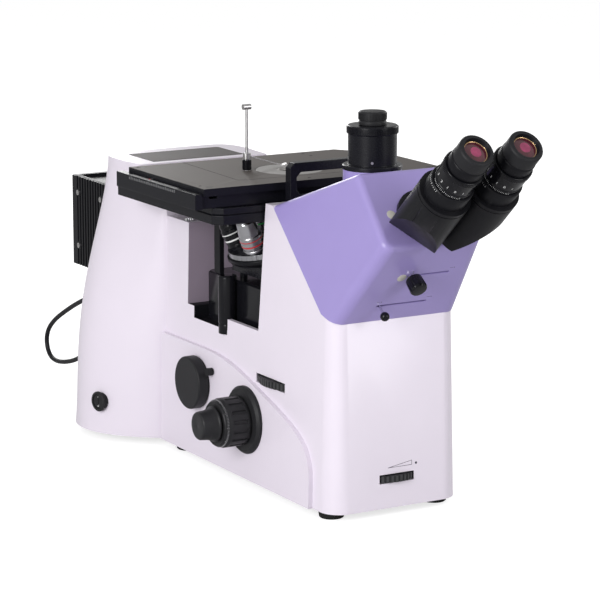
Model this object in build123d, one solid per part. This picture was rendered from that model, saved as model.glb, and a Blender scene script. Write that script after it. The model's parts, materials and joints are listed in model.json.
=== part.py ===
from build123d import *
from math import cos, pi, radians, sin, tan
import os

os.makedirs("parts", exist_ok=True)

# Inverted microscope, in millimetres. Z is up and the user sits on the -Y side.
# While it is built, the optical axis of the working objective stands at X = 0, Y = 0, above the bench at Z = 0.
# The last step moves the whole object so that the middle of its box stands over the origin.

# Clearances
RUN = 0.05          # radial play of a shaft in its bore
SEAT = 0.3          # gap between a loose piece and the piece that carries it
SLIP = 1.0          # gap beside a piece that slides or turns in a pocket

# Casting: base, front pier and bay for the nosepiece
FOOT_H = 8.0
FOOT_R = 14.0
BODY_HALF_W = 78.5          # at the bottom
BODY_DRAFT = 1.3            # degrees, on the outer walls of the casting
BODY_FRONT = -222.0
BODY_BACK = 146.0
BODY_CORNER_R = 22.0
BODY_WALL = 6.0
PIER_TOP = 308.0
PIER_BACK = -76.0
PIER_FOOT_BACK = -64.0
SEAM_FRONT_Z = 205.0        # where the head cover meets the front face
SEAM_SIDE_Y = -193.0
SEAM_SIDE_Z = 212.5
SEAM_TOP_Y = -90.0
BAY_FLOOR = 159.0
BAY_STEP_Y = 79.0
BAY_STEP_Z = 172.0
BAY_REAR = 94.0
SHOULDER_TOP = 262.0
BRACKET_HALF_W = 50.0
BRACKET_BACK = -64.0
BRACKET_T = 20.0
OBJECTIVE_BORE_R = 16.0

# Rear column
COLUMN_TOP = 313.0
COLUMN_STEP_Z = 288.5       # the stage rests on this step
COLUMN_STEP_Y = 195.0
COLUMN_BACK = 292.0
COLUMN_WIDEST_Y = 222.0
COLUMN_BACK_SHARE = 0.7     # flat part of the back, of the widest width
COLUMN_WIDTHS = [(FOOT_H, 137.0), (95.0, 131.5), (165.0, 121.0), (235.0, 101.0), (COLUMN_TOP, 83.0)]
COLUMN_WALL = 6.0
TOP_PLATE_HALF_W = 58.0
TOP_PLATE_FRONT = 206.0
TOP_PLATE_BACK = 270.0
TOP_PLATE_T = 3.0
WIRING_HALF_W = 60.0
WIRING_TOP = 60.0
BASE_PLATE_T = 4.0
BASE_PLATE_HALF_W = 95.0    # inside the column

# Rear panel and inlet
PANEL_HALF_W = 66.0
PANEL_BOTTOM = 22.0
PANEL_TOP = 150.0
PANEL_T = 3.0
PANEL_LAP = 6.0
INLET_X = -30.0
INLET_Z = 46.0
INLET_W = 27.0
INLET_H = 20.0
INLET_DEPTH = 22.0
INLET_RIM = 3.0
INLET_MOUTH = 15.0
BLADE_W = 4.0
BLADE_T = 2.0
BLADE_PITCH = 7.0
BLADE_L = 11.0

# Power supply inside the column
SUPPLY_HALF_W = 50.0
SUPPLY_FRONT = 190.0
SUPPLY_BACK = 255.0
SUPPLY_H = 66.0

# Side covers
COVER_T = 5.0
COVER_TOP = 131.0
COVER_FRONT = -184.0
COVER_ARC_START = 40.0
COVER_ARC_END_Z = 36.0

# Head cover, seen from the side
HEAD_TOP_Y = -230.0
HEAD_TOP_Z = 359.0
HEAD_TIP_Y = -290.0
HEAD_TIP_Z = 292.0
HEAD_TIP_HALF_W = 57.5
HEAD_EDGE_R = 7.0
HEAD_LOWER_EDGE_R = 12.0
HEAD_WALL = 4.0
HEAD_RIM = 14.0
PORT_Y = -170.0
PORT_BOSS_R = 30.0
PORT_BOSS_TOP = 352.0
LIGHT_R = 14.0

# Camera port
PORT_FLANGE_R = 30.8
PORT_FLANGE_T = 5.0
PORT_TUBE_R = 25.0
PORT_TUBE_WALL = 4.0
PORT_TUBE_TOP = 388.0
PORT_SLEEVE_R = 20.0
PORT_SLEEVE_BOTTOM = 288.0
PORT_COLLAR_R = 26.6
PORT_COLLAR_H = 9.0
C_MOUNT_R = 12.7
C_MOUNT_L = 5.0
PORT_CAP_R = 14.7
PORT_CAP_H = 14.0

# Carry handle on the pier
HANDLE_HALF_W = 50.0
HANDLE_FRONT = -89.7
HANDLE_BACK = -79.0
HANDLE_TOP = 350.0
HANDLE_WINDOW_HALF_W = 42.0
HANDLE_WINDOW_BOTTOM = 316.0
HANDLE_WINDOW_TOP = 340.0
HANDLE_CHAMFER = 5.0

# Binocular, measured along its tilted axis from the upper facet of the head
EYE_PIVOT_DOWN = 57.5       # from the top ridge to the pivot, down the facet
EYE_HALF_IPD = 28.0
EYE_ARM_R = 37.5            # pivot to tube axis, half the widest eye distance
PIVOT_FLANGE_R = 30.0
PIVOT_FLANGE_T = 6.0
PIVOT_TUBE_R = 12.0
PIVOT_TUBE_BORE_R = 9.0
PIVOT_HUB_R = 17.0
PIVOT_CAP_T = 3.0
ARM_PLATE_T = 5.0
ARM_HALF_W = 9.0
PRISM_R = 27.0
PRISM_WALL = 4.0
PRISM_TOP = 86.0
PRISM_COLLAR = 5.0
PRISM_CUT = 62.0            # degrees between the oblique underside and the head's facet
HOLDER_R = 22.5
HOLDER_TOP = 104.0
SHANK_R = 15.0
SHANK_DEPTH = 22.0
DIOPTER_R = 20.5
DIOPTER_TOP = 130.0
EYEPIECE_R = 18.4
EYEPIECE_RIM_R = 17.9
EYEPIECE_RIM_L = 14.0
EYEPIECE_TOP = 158.5
EYE_LENS_R = 11.5
EYE_LENS_T = 4.0
EYE_LENS_DEPTH = 5.0

# Stage
STAGE_TOP = 328.0
TOP_T = 8.0
CARRIAGE_TOP = 319.7
CARRIAGE_T = 13.4
LOWER_T = 17.5
GROOVE = 1.2
STAGE_LEFT = -142.0
STAGE_RIGHT = 151.0
STAGE_FRONT = -72.0
STAGE_BACK = 100.0
STAGE_CORNER_X = 36.0
STAGE_CORNER_Y = 50.0
LEDGE_W = 9.0
LEDGE_DROP = 5.3            # ledge top below the stage top
CARRIAGE_RIGHT = 149.0
CARRIAGE_FRONT = -66.0
CARRIAGE_HOLE_X = 113.0
LOWER_LEFT = -128.0
LOWER_RIGHT = 97.0
LOWER_BACK = 165.0
LOWER_CHAMFER = 9.0
WELL_LEFT = -95.0
WELL_RIGHT = 58.0
WELL_HALF_Y = 61.0
INSERT_R = 36.0
INSERT_HOLE_R = 12.0
INSERT_T = 3.0
TOP_HOLE_R = 31.0
STAGE_X_TRAVEL = 25.0
STAGE_Y_BACK_TRAVEL = 46.0
STAGE_Y_FRONT_TRAVEL = 6.0
RAIL_W = 8.0
RAIL_H = 3.0
RAIL_L = 60.0

# Stage drive, hanging from the carriage
DRIVE_X = 134.0
DRIVE_Y = 60.0
SLEEVE_R = 5.5
DRIVE_SHAFT_R = 3.0
Y_KNOB_R = 13.0
X_KNOB_R = 10.5
Y_KNOB_TOP = 287.5
Y_KNOB_L = 24.0
X_KNOB_L = 26.0

# Gears
GEAR_MODULE = 1.5
GEAR_TEETH = 10
GEAR_ADDENDUM = 1.2
GEAR_ROOT = 1.6
GEAR_HALF_TOOTH = 0.95      # half the tooth at the pitch line, thin enough for free play
GEAR_FLANK = 20.0           # degrees
RACK_BODY = 7.0

# Specimen clip
CLIP_X = -42.0
CLIP_Y = 18.0
CLIP_BASE_R = 4.5
CLIP_BASE_H = 12.0
CLIP_ROD_R = 1.6
CLIP_ROD_TOP = 396.0
CLIP_CROSS_R = 3.0
CLIP_CROSS_L = 9.0
CLIP_HUB_R = 4.2
CLIP_HUB_H = 6.0
CLIP_ARM_L = 44.0
CLIP_ARM_W = 5.0
CLIP_ARM_T = 1.2
CLIP_ARM_DROP = 14.0

# Nosepiece
TURRET_TILT = 14.0
TURRET_PITCH_R = 29.5       # objective seats from the turret axis
SEAT_Z = 262.0              # seat of the working objective
OBJECTIVE_THREAD_R = 10.0
OBJECTIVE_THREAD_L = 5.0
TURRET_R = 43.0
TURRET_H = 9.0
TURRET_RING_H = 5.6
TURRET_RING_W = 2.0
TURRET_FLOOR_T = 3.0
TURRET_PIN_R = 6.0
PAD_R = 13.5
PAD_H = 1.5
NOSE_R = 37.0
NOSE_X = -29.0
CARRIER_BOTTOM = 219.0
CARRIER_T = 10.0
CARRIER_LEFT = -55.0
CARRIER_RIGHT = 46.0
CARRIER_FRONT = -46.0
CARRIER_BACK = 32.0
CARRIER_HOLE_R = 11.0
GUIDE_R = 4.0
GUIDE_BOTTOM = 172.0
GUIDE_PLACES = [(-46.0, -36.0), (-44.0, 22.0), (37.0, 22.0)]

# Objectives: length from the seat, barrel radius and tip radius, in turret order
OBJECTIVES = [(53.0, 13.2, 5.5), (46.0, 12.6, 4.5), (40.0, 12.8, 6.5), (38.0, 12.8, 8.0), (44.0, 12.6, 5.0)]

# Focus block on the bay floor
BLOCK_FRONT = -52.0
BLOCK_BACK = 75.0
BLOCK_HALF_W = 62.0
BLOCK_TOP = 212.0
BLOCK_CORNER = 6.0
BOSS_X = -69.0
BOSS_Y = 13.0
BOSS_R = 9.6
BOSS_BOTTOM = 154.0
BOSS_TOP = 217.0

# Focus knobs
FOCUS_Y = -50.0
FOCUS_Z = 73.0
PINION_X = 34.0
PINION_W = 12.0
FOCUS_DOWN = 5.0
FLANGE_R = 36.5
FLANGE_OUT = 88.0
FLANGE_BEVEL = 3.0
COARSE_R = 26.5
COARSE_L = 31.5
COARSE_FLUTES = 14
FINE_R = 19.0
FINE_TIP_R = 15.0
FINE_L = 20.0
COARSE_SHAFT_R = 5.5
FINE_SHAFT_R = 3.0

# Wheels behind slots
DIMMER_Z = 39.0
DIMMER_R = 34.0
DIMMER_T = 7.0
DIMMER_SLOT_W = 41.5
DIMMER_SLOT_H = 9.5
DIMMER_PROUD = 5.0
APERTURE_Y = -92.5
APERTURE_Z = 121.0
APERTURE_R = 58.0
APERTURE_T = 7.5
APERTURE_SLOT_W = 61.0
APERTURE_SLOT_H = 10.0
APERTURE_PROUD = 6.0
AXLE_R = 4.0

# Side port, its cap and its clamp screw
SIDE_PORT_Y = 59.0
SIDE_PORT_Z = 92.0
SIDE_PORT_R = 27.0
SIDE_BORE_R = 18.0
SIDE_LIGHT_R = 14.0
SIDE_RING_T = 1.5
SIDE_CAP_R = 29.0
SIDE_CAP_T = 12.5
SIDE_SPIGOT_L = 8.0
CLAMP_Y = 25.0
CLAMP_Z = 110.0
CLAMP_R = 4.2
CLAMP_L = 7.0
CLAMP_SHANK_R = 1.6

# Power switch on the flare of the column
SWITCH_AT = (-133.0, 203.0, 45.0)
SWITCH_TURN = 77.5          # degrees from the front round to the left
SWITCH_R = 11.3
SWITCH_BARREL_R = 9.6
SWITCH_BARREL_L = 16.0
SWITCH_PROUD = 1.6
SWITCH_SINK = 1.2
ROCKER_R = 7.9
ROCKER_T = 6.0
ROCKER_PIN_R = 1.2
ROCKER_MOUTH_R = 8.5

# Lamp house
LAMP_HALF_W = 62.0
LAMP_FRONT = 300.0
LAMP_BACK = 418.0
LAMP_BOTTOM = 163.0
LAMP_TOP = 270.0
LAMP_WALL = 10.0
LAMP_AXIS_Z = 190.0
LAMP_TUBE_R = 15.0
LAMP_TUBE_WALL = 2.0
LAMP_FLANGE_R = 30.0
LAMP_EDGE = 4.0
FIN_PITCH = 7.0
FIN_DEPTH = 6.0
FIN_GAP = 3.4
TRAY_DEPTH = 4.0
TRAY_MARGIN = 8.0
LAMP_SCREW_FRONT_IN = 36.0    # from the lamp house's faces to its screws
LAMP_SCREW_BACK_IN = 21.0
LAMP_SCREW_UP = 24.0
LAMP_SCREW_DOWN = 19.0
LAMP_SPIGOT = 4.0           # the lamp tube's ends past the walls that they go through
BULB_R = 8.0

# Levers on the lower facet of the head, measured down the facet from the tip ridge
SLOT_H = 2.6
BEAM_SLOT = (-13.0, 35.0, 45.0)      # left end, right end, down the facet
BALL_SLOT = (-33.0, 26.0, 89.0)
BEAM_KNOB_R = 9.3
BEAM_KNOB_L = 16.0
BEAM_KNOB_OUT = 4.0
BALL_R = 4.8
BALL_OUT = 14.0
STEM_R = 1.1
SLIDER_T = 2.0
SLIDER_HALF_H = 6.0

# Light path in the base
BEAM_Z = 90.0
MIRROR_SIZE = 20.0
BRIDGE_HALF_W = 46.0
BRIDGE_LEG = 7.0
BRIDGE_DECK_Z = 52.0
RELAY_FRONT = -105.0
RELAY_BACK = -67.0
RELAY_R = 16.0
RELAY_BORE_R = 12.0

# Prism block on the casting's slope, under the head cover
PRISM_BLOCK_HALF_W = 22.0
PRISM_BLOCK_HALF_L = 24.0
PRISM_BLOCK_H = 36.0
PRISM_BLOCK_BORE_R = 11.0

# Screws
SCREW_HEAD_R = 3.2
SCREW_HEAD_H = 1.6
SCREW_SHANK_R = 1.6
SCREW_L = 8.0
HEX_R = 1.5

# Lamp lead: the (y, z) route from its upper gland to its lower gland
LEAD_R = 2.75
LEAD_X = -79.0
RELIEF_R = 4.4
RELIEF_FLANGE_R = 6.5
RELIEF_L = 20.0
LEAD_ROUTE = [(COLUMN_BACK + RELIEF_L, 137.0), (334.0, 137.0), (371.0, 122.5), (406.0, 106.0), (433.0, 92.0),
              (453.0, 77.0), (460.0, 62.0), (455.0, 47.0), (441.0, 40.0), (415.0, 41.5), (373.0, 53.0),
              (334.0, 74.0), (COLUMN_BACK + RELIEF_L, 74.0)]


def box(x0, x1, y0, y1, z0, z1):
    """A box between two corners."""
    return Pos((x0 + x1) / 2, (y0 + y1) / 2, (z0 + z1) / 2) * Box(x1 - x0, y1 - y0, z1 - z0)


def rod(start, direction, radius, length):
    """A cylinder from a start point along a direction."""
    plane = Plane(origin=start, z_dir=direction)
    return plane * Cylinder(radius, length, align=(Align.CENTER, Align.CENTER, Align.MIN))


def turned(plane, profile):
    """A turned piece: a closed (radius, height) outline about a plane's normal."""
    face = make_face(Polyline([(r, 0, h) for r, h in profile], close=True))
    return plane * revolve(face, Axis.Z)


def ring(plane, outer_r, inner_r, low, high):
    """A plain ring about a plane's normal."""
    return turned(plane, [(inner_r, low), (outer_r, low), (outer_r, high), (inner_r, high)])


def side_slab(points, half_width):
    """A (y, z) outline carried the full width of the object along X."""
    outline = make_face(Polyline([(0, y, z) for y, z in points], close=True))
    return extrude(outline, amount=half_width, dir=(1, 0, 0), both=True)


def fluted(plane, radius, length, count, flute_r, depth):
    """A knob barrel with round flutes cut along it."""
    barrel = Circle(radius)
    for place in PolarLocations(radius + flute_r - depth, count):
        barrel -= place * Circle(flute_r)
    return plane * extrude(barrel, amount=length)


def screw(plane):
    """A cap screw with a hexagon socket; the plane lies under its head."""
    body = turned(plane, [(0, -SCREW_L), (SCREW_SHANK_R, -SCREW_L), (SCREW_SHANK_R, 0), (SCREW_HEAD_R, 0),
                          (SCREW_HEAD_R, SCREW_HEAD_H), (0, SCREW_HEAD_H)])
    socket = plane.offset(SCREW_HEAD_H / 2) * extrude(RegularPolygon(HEX_R, 6), amount=SCREW_HEAD_H)
    return body - socket


def screw_hole(plane):
    return plane.offset(-SCREW_L - 1) * extrude(Circle(SCREW_SHANK_R + RUN), amount=SCREW_L + 2)


def group(solids):
    """Separate solids that share one node."""
    return Compound(children=list(solids))


def pitch_r():
    return GEAR_MODULE * GEAR_TEETH / 2


def tooth_half_width(out):
    """Half a tooth's width at a distance out from the pitch line."""
    return GEAR_HALF_TOOTH - out * tan(radians(GEAR_FLANK))


def pinion(plane, width):
    """A small spur pinion; one tooth points along the plane's X."""
    blank = Circle(pitch_r() - GEAR_ROOT)
    tooth = make_face(Polyline([
        (pitch_r() - GEAR_ROOT - 0.5, -GEAR_HALF_TOOTH),
        (pitch_r(), -GEAR_HALF_TOOTH),
        (pitch_r() + GEAR_ADDENDUM, -tooth_half_width(GEAR_ADDENDUM)),
        (pitch_r() + GEAR_ADDENDUM, tooth_half_width(GEAR_ADDENDUM)),
        (pitch_r(), GEAR_HALF_TOOTH),
        (pitch_r() - GEAR_ROOT - 0.5, GEAR_HALF_TOOTH),
    ], close=True))
    for i in range(GEAR_TEETH):
        blank += Rot(0, 0, 360 * i / GEAR_TEETH) * tooth
    return plane * extrude(blank, amount=width)


def rack(plane, low, high, width):
    """A rack along the plane's X with its pitch line at Y = 0 and a tooth space at X = 0; teeth towards +Y."""
    pitch = pi * GEAR_MODULE
    bar = Pos((low + high) / 2, -GEAR_ROOT - RACK_BODY / 2) * Rectangle(high - low, RACK_BODY)
    first = int(low / pitch) - 1
    last = int(high / pitch) + 1
    for i in range(first, last + 1):
        middle = (i + 0.5) * pitch
        if low < middle - 2 and middle + 2 < high:
            tooth = make_face(Polyline([
                (middle - tooth_half_width(-GEAR_ROOT), -GEAR_ROOT - 0.5),
                (middle - tooth_half_width(-GEAR_ROOT), -GEAR_ROOT),
                (middle - tooth_half_width(GEAR_ADDENDUM), GEAR_ADDENDUM),
                (middle + tooth_half_width(GEAR_ADDENDUM), GEAR_ADDENDUM),
                (middle + tooth_half_width(-GEAR_ROOT), -GEAR_ROOT),
                (middle + tooth_half_width(-GEAR_ROOT), -GEAR_ROOT - 0.5),
            ], close=True))
            bar += tooth
    return plane * extrude(bar, amount=width)


def body_half_width(z):
    """Half the width of the casting at a height."""
    return BODY_HALF_W - (z - FOOT_H) * tan(radians(BODY_DRAFT))


def cover_half_width(z):
    """Half the width over the side covers at a height."""
    return body_half_width(z) + COVER_T


def body_front(z):
    """Where the front face lies at a height."""
    return BODY_FRONT + (z - FOOT_H) * tan(radians(BODY_DRAFT))


# Casting

def outer_block():
    """The casting's tapered block, run on behind so that its back face can be cut square."""
    length = BODY_BACK + 20 - BODY_FRONT
    plan = Pos(0, BODY_FRONT + length / 2) * Rectangle(2 * BODY_HALF_W, length)
    plan = fillet(plan.vertices().sort_by(Axis.Y)[:2], BODY_CORNER_R)
    return extrude(Plane.XY.offset(FOOT_H) * plan, amount=PIER_TOP - FOOT_H, taper=BODY_DRAFT)


def inner_block():
    """The hollow inside the casting's walls."""
    half = BODY_HALF_W - BODY_WALL
    front = BODY_FRONT + BODY_WALL
    back = BODY_BACK - BODY_WALL
    plan = Pos(0, (front + back) / 2) * Rectangle(2 * half, back - front)
    plan = fillet(plan.vertices().sort_by(Axis.Y)[:2], BODY_CORNER_R - BODY_WALL)
    return extrude(Plane.XY.offset(FOOT_H - 1) * plan, amount=PIER_TOP - FOOT_H, taper=BODY_DRAFT)


def grown_block(growth):
    """A long tapered block that follows the casting's sides, grown outwards."""
    half = BODY_HALF_W + growth
    plan = Pos(0, (BODY_BACK + BODY_FRONT) / 2) * Rectangle(2 * half, BODY_BACK - BODY_FRONT + 80)
    return extrude(Plane.XY.offset(FOOT_H) * plan, amount=COVER_TOP + 10 - FOOT_H, taper=BODY_DRAFT)


def aperture_centre_x():
    return -body_half_width(APERTURE_Z) - APERTURE_PROUD + APERTURE_R


def dimmer_centre_y():
    return body_front(DIMMER_Z) - DIMMER_PROUD + DIMMER_R


def rack_slot(z0, z1):
    """Slot that the focus rack moves in."""
    pitch_y = FOCUS_Y + pitch_r()
    return box(PINION_X - PINION_W / 2 - SLIP, PINION_X + PINION_W / 2 + SLIP,
               pitch_y - GEAR_ADDENDUM - SLIP, pitch_y + GEAR_ROOT + RACK_BODY + SLIP, z0, z1)


def wheel_relief(centre, z, radius, height):
    """Room for a wheel inside a wall and beyond it."""
    return rod((*centre, z - height / 2), (0, 0, 1), radius + SLIP, height)


def casting_openings():
    """Wheel slots, shaft and lens bores, the light path and the wiring opening."""
    front = body_front(DIMMER_Z)
    side = -body_half_width(APERTURE_Z)
    wide = BODY_HALF_W + 10
    floor = BAY_FLOOR - BODY_WALL
    return [
        wheel_relief((0, dimmer_centre_y()), DIMMER_Z, DIMMER_R, DIMMER_SLOT_H),
        wheel_relief((aperture_centre_x(), APERTURE_Y), APERTURE_Z, APERTURE_R, APERTURE_T + 2 * SLIP),
        box(-DIMMER_SLOT_W / 2, DIMMER_SLOT_W / 2, front - 5, front + BODY_WALL + 4,
            DIMMER_Z - DIMMER_SLOT_H / 2, DIMMER_Z + DIMMER_SLOT_H / 2),
        box(side - 5, side + BODY_WALL + 4,
            APERTURE_Y - APERTURE_SLOT_W / 2, APERTURE_Y + APERTURE_SLOT_W / 2,
            APERTURE_Z - APERTURE_SLOT_H / 2, APERTURE_Z + APERTURE_SLOT_H / 2),
        rod((-wide, FOCUS_Y, FOCUS_Z), (1, 0, 0), COARSE_SHAFT_R + RUN, 2 * wide),
        rod((0, 0, floor - 2), (0, 0, 1), OBJECTIVE_BORE_R, BODY_WALL + 4),
        rack_slot(floor - 2, BAY_FLOOR + 2),
        rod((0, PORT_Y, SEAM_SIDE_Z - 30), (0, 0, 1), LIGHT_R, 80),
        rod((-wide, SIDE_PORT_Y, SIDE_PORT_Z), (1, 0, 0), SIDE_BORE_R, 30),
        rod((0, BAY_REAR - 2, LAMP_AXIS_Z), (0, 1, 0), LAMP_TUBE_R + RUN, BODY_BACK - BAY_REAR + 6),
        rod((BOSS_X, BOSS_Y, BOSS_BOTTOM - SEAT), (0, 0, 1), BOSS_R + SEAT, BAY_FLOOR - BOSS_BOTTOM + 2),
        box(-BODY_HALF_W - 1, BOSS_X, BOSS_Y - BOSS_R - SEAT, BOSS_Y + BOSS_R + SEAT, BOSS_BOTTOM - SEAT,
            BAY_FLOOR + 2),
        box(-WIRING_HALF_W, WIRING_HALF_W, BODY_BACK - 2 * BODY_WALL, BODY_BACK + 5, FOOT_H - 1, WIRING_TOP),
        rod((-wide, CLAMP_Y, CLAMP_Z), (1, 0, 0), CLAMP_SHANK_R + RUN, 30),
    ]


def make_casting():
    """Base, pier and shoulder in one hollow casting, open at the bottom."""
    profile = [
        (BODY_FRONT - 8, FOOT_H),
        (BODY_FRONT - 8, SEAM_FRONT_Z),
        (body_front(SEAM_FRONT_Z), SEAM_FRONT_Z),
        (SEAM_SIDE_Y, SEAM_SIDE_Z),
        (SEAM_TOP_Y, PIER_TOP),
        (PIER_BACK, PIER_TOP),
        (PIER_FOOT_BACK, BAY_FLOOR),
        (BAY_STEP_Y, BAY_FLOOR),
        (BAY_STEP_Y, BAY_STEP_Z),
        (BAY_REAR, BAY_STEP_Z),
        (BAY_REAR, SHOULDER_TOP),
        (BODY_BACK, SHOULDER_TOP),
        (BODY_BACK, FOOT_H),
    ]
    body = outer_block() & side_slab(profile, BODY_HALF_W + 10)
    w = BODY_WALL
    hollow_profile = [
        (BODY_FRONT, FOOT_H - 1),
        (BODY_FRONT, SEAM_FRONT_Z - w),
        (SEAM_SIDE_Y - 2, SEAM_SIDE_Z - w - 4),
        (SEAM_TOP_Y - 4, PIER_TOP - 2 * w),
        (PIER_BACK - w, PIER_TOP - 2 * w),
        (PIER_FOOT_BACK - w, BAY_FLOOR - w),
        (BAY_REAR + w, BAY_FLOOR - w),
        (BAY_REAR + w, SHOULDER_TOP - w),
        (BODY_BACK - w, SHOULDER_TOP - w),
        (BODY_BACK - w, FOOT_H - 1),
    ]
    body -= inner_block() & side_slab(hollow_profile, BODY_HALF_W)
    body += box(-BRACKET_HALF_W, BRACKET_HALF_W, PIER_BACK - 2, BRACKET_BACK, COLUMN_STEP_Z - BRACKET_T, COLUMN_STEP_Z)
    for cut in casting_openings():
        body -= cut
    shelf_z = APERTURE_Z + APERTURE_T / 2 + SLIP
    half = body_half_width(shelf_z) - w + 1
    body += box(-half, half, APERTURE_Y - 12, APERTURE_Y + 12, shelf_z, shelf_z + 5)
    axle_low = APERTURE_Z - APERTURE_T / 2 - 2
    return body + rod((aperture_centre_x(), APERTURE_Y, axle_low), (0, 0, 1), AXLE_R, shelf_z + 2 - axle_low)


def cover_outline():
    """The raised side cover: a flat top edge that sweeps down to the front in one curve."""
    back = BODY_BACK - SEAT
    sweep = Spline((0, COVER_ARC_START, COVER_TOP), (0, -71, 110.5), (0, -132, 91),
                   (0, COVER_FRONT, COVER_ARC_END_Z), tangents=[(0, -1, 0), (0, 0, -1)])
    return make_face([
        sweep,
        Line((0, COVER_FRONT, COVER_ARC_END_Z), (0, COVER_FRONT, FOOT_H)),
        Line((0, COVER_FRONT, FOOT_H), (0, back, FOOT_H)),
        Line((0, back, FOOT_H), (0, back, COVER_TOP)),
        Line((0, back, COVER_TOP), (0, COVER_ARC_START, COVER_TOP)),
    ])


def make_side_covers():
    """The two raised side covers, each with its bores."""
    shell = grown_block(COVER_T) - grown_block(0)
    outline = extrude(cover_outline(), amount=BODY_HALF_W + 20, dir=(1, 0, 0))
    plain = shell & outline
    wide = BODY_HALF_W + 20
    covers = []
    for side in (-1, 1):
        cover = plain if side > 0 else mirror(plain, Plane.YZ)
        cover -= rod((0, FOCUS_Y, FOCUS_Z), (side, 0, 0), COARSE_SHAFT_R + RUN, wide)
        covers.append(cover)
    left = covers[0]
    left -= rod((0, SIDE_PORT_Y, SIDE_PORT_Z), (-1, 0, 0), SIDE_BORE_R, wide)
    left -= rod((0, CLAMP_Y, CLAMP_Z), (-1, 0, 0), CLAMP_SHANK_R + RUN, wide)
    left -= wheel_relief((aperture_centre_x(), APERTURE_Y), APERTURE_Z, APERTURE_R, APERTURE_SLOT_H)
    return group([left, covers[1]])


# Column

def column_section(z, inset):
    """The column's outline at a height: flared sides that round into a flat back."""
    levels = [level for level, _ in COLUMN_WIDTHS]
    widths = [width for _, width in COLUMN_WIDTHS]
    i = min(sum(1 for level in levels if level <= z), len(levels) - 1)
    share = (z - levels[i - 1]) / (levels[i] - levels[i - 1])
    wide = widths[i - 1] + (widths[i] - widths[i - 1]) * share
    back_half = wide * COLUMN_BACK_SHARE - inset / 2
    wide -= inset
    front = body_half_width(min(z, PIER_TOP)) - inset
    back = COLUMN_BACK - inset
    start = BODY_BACK + inset
    right = Spline((front, start), (wide, COLUMN_WIDEST_Y), (back_half, back),
                   tangents=[(1, 0.6 if wide - front > 20 else 1.6), (-1, 0)],
                   tangent_scalars=[0.6, 1.2])
    outline = [Line((-front, start), (front, start)), right,
               Line((back_half, back), (-back_half, back)), mirror(right, Plane.YZ)]
    return Plane.XY.offset(z) * make_face(outline)


def column_body(inset, z_low, z_high):
    levels = [z for z, _ in COLUMN_WIDTHS if z_low < z < z_high]
    return loft([column_section(z, inset) for z in [z_low, *levels, z_high]])


def switch_plane(out=0.0):
    """Plane of the power switch, its normal pointing away from the column."""
    turn = radians(SWITCH_TURN)
    normal = Vector(-sin(turn), -cos(turn), 0)
    x_dir = Vector(-cos(turn), sin(turn), 0)
    return Plane(origin=Vector(*SWITCH_AT) + normal * out, x_dir=x_dir, z_dir=normal)


def panel_screw_planes():
    """Screws at the corners of the rear panel."""
    margin = PANEL_LAP / 2
    return [Plane(origin=(x, COLUMN_BACK + PANEL_T, z), z_dir=(0, 1, 0))
            for x in (-PANEL_HALF_W + margin, PANEL_HALF_W - margin)
            for z in (PANEL_BOTTOM + margin, PANEL_TOP - margin)]


def gland_planes():
    """The two cable glands on the flat back of the column."""
    return [Plane(origin=(LEAD_X, COLUMN_BACK, z), z_dir=(0, 1, 0)) for z in (LEAD_ROUTE[0][1], LEAD_ROUTE[-1][1])]


def make_column():
    """Rear column: a bell-shaped shell, open below, closed behind by the rear panel."""
    shell = column_body(0, FOOT_H, COLUMN_TOP)
    shell -= box(-200, 200, BODY_BACK - 5, COLUMN_STEP_Y, COLUMN_STEP_Z, COLUMN_TOP + 5)
    shell -= column_body(COLUMN_WALL, FOOT_H, COLUMN_STEP_Z - COLUMN_WALL)
    roof = COLUMN_TOP - TOP_PLATE_T - COLUMN_WALL
    shell -= box(-TOP_PLATE_HALF_W, TOP_PLATE_HALF_W, COLUMN_STEP_Y + COLUMN_WALL, TOP_PLATE_BACK,
                 COLUMN_STEP_Z - COLUMN_WALL - 1, roof)
    shell -= box(-TOP_PLATE_HALF_W - SEAT, TOP_PLATE_HALF_W + SEAT, TOP_PLATE_FRONT - SEAT, TOP_PLATE_BACK + SEAT,
                 COLUMN_TOP - TOP_PLATE_T, COLUMN_TOP + 1)
    window = PANEL_HALF_W - PANEL_LAP
    shell -= box(-window, window, COLUMN_BACK - 2 * COLUMN_WALL, COLUMN_BACK + 5,
                 PANEL_BOTTOM + PANEL_LAP, PANEL_TOP - PANEL_LAP)
    shell -= box(-WIRING_HALF_W, WIRING_HALF_W, BODY_BACK - 5, BODY_BACK + 2 * COLUMN_WALL, FOOT_H - 1, WIRING_TOP)
    shell -= rod((0, BODY_BACK - 5, LAMP_AXIS_Z), (0, 1, 0), LAMP_TUBE_R + RUN, COLUMN_BACK - BODY_BACK + 20)
    shell -= switch_plane(-SWITCH_SINK) * extrude(Circle(SWITCH_R + SEAT), amount=15)
    shell -= switch_plane(-25) * extrude(Circle(SWITCH_BARREL_R + RUN), amount=30)
    for plane in panel_screw_planes():
        shell -= screw_hole(plane)
    return shell


def make_column_top_plate():
    """Black plate let into the top of the column."""
    plate = box(-TOP_PLATE_HALF_W, TOP_PLATE_HALF_W, TOP_PLATE_FRONT, TOP_PLATE_BACK,
                COLUMN_TOP - TOP_PLATE_T, COLUMN_TOP + 0.4)
    return chamfer(plate.edges().filter_by(Axis.Z), 3)


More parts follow.
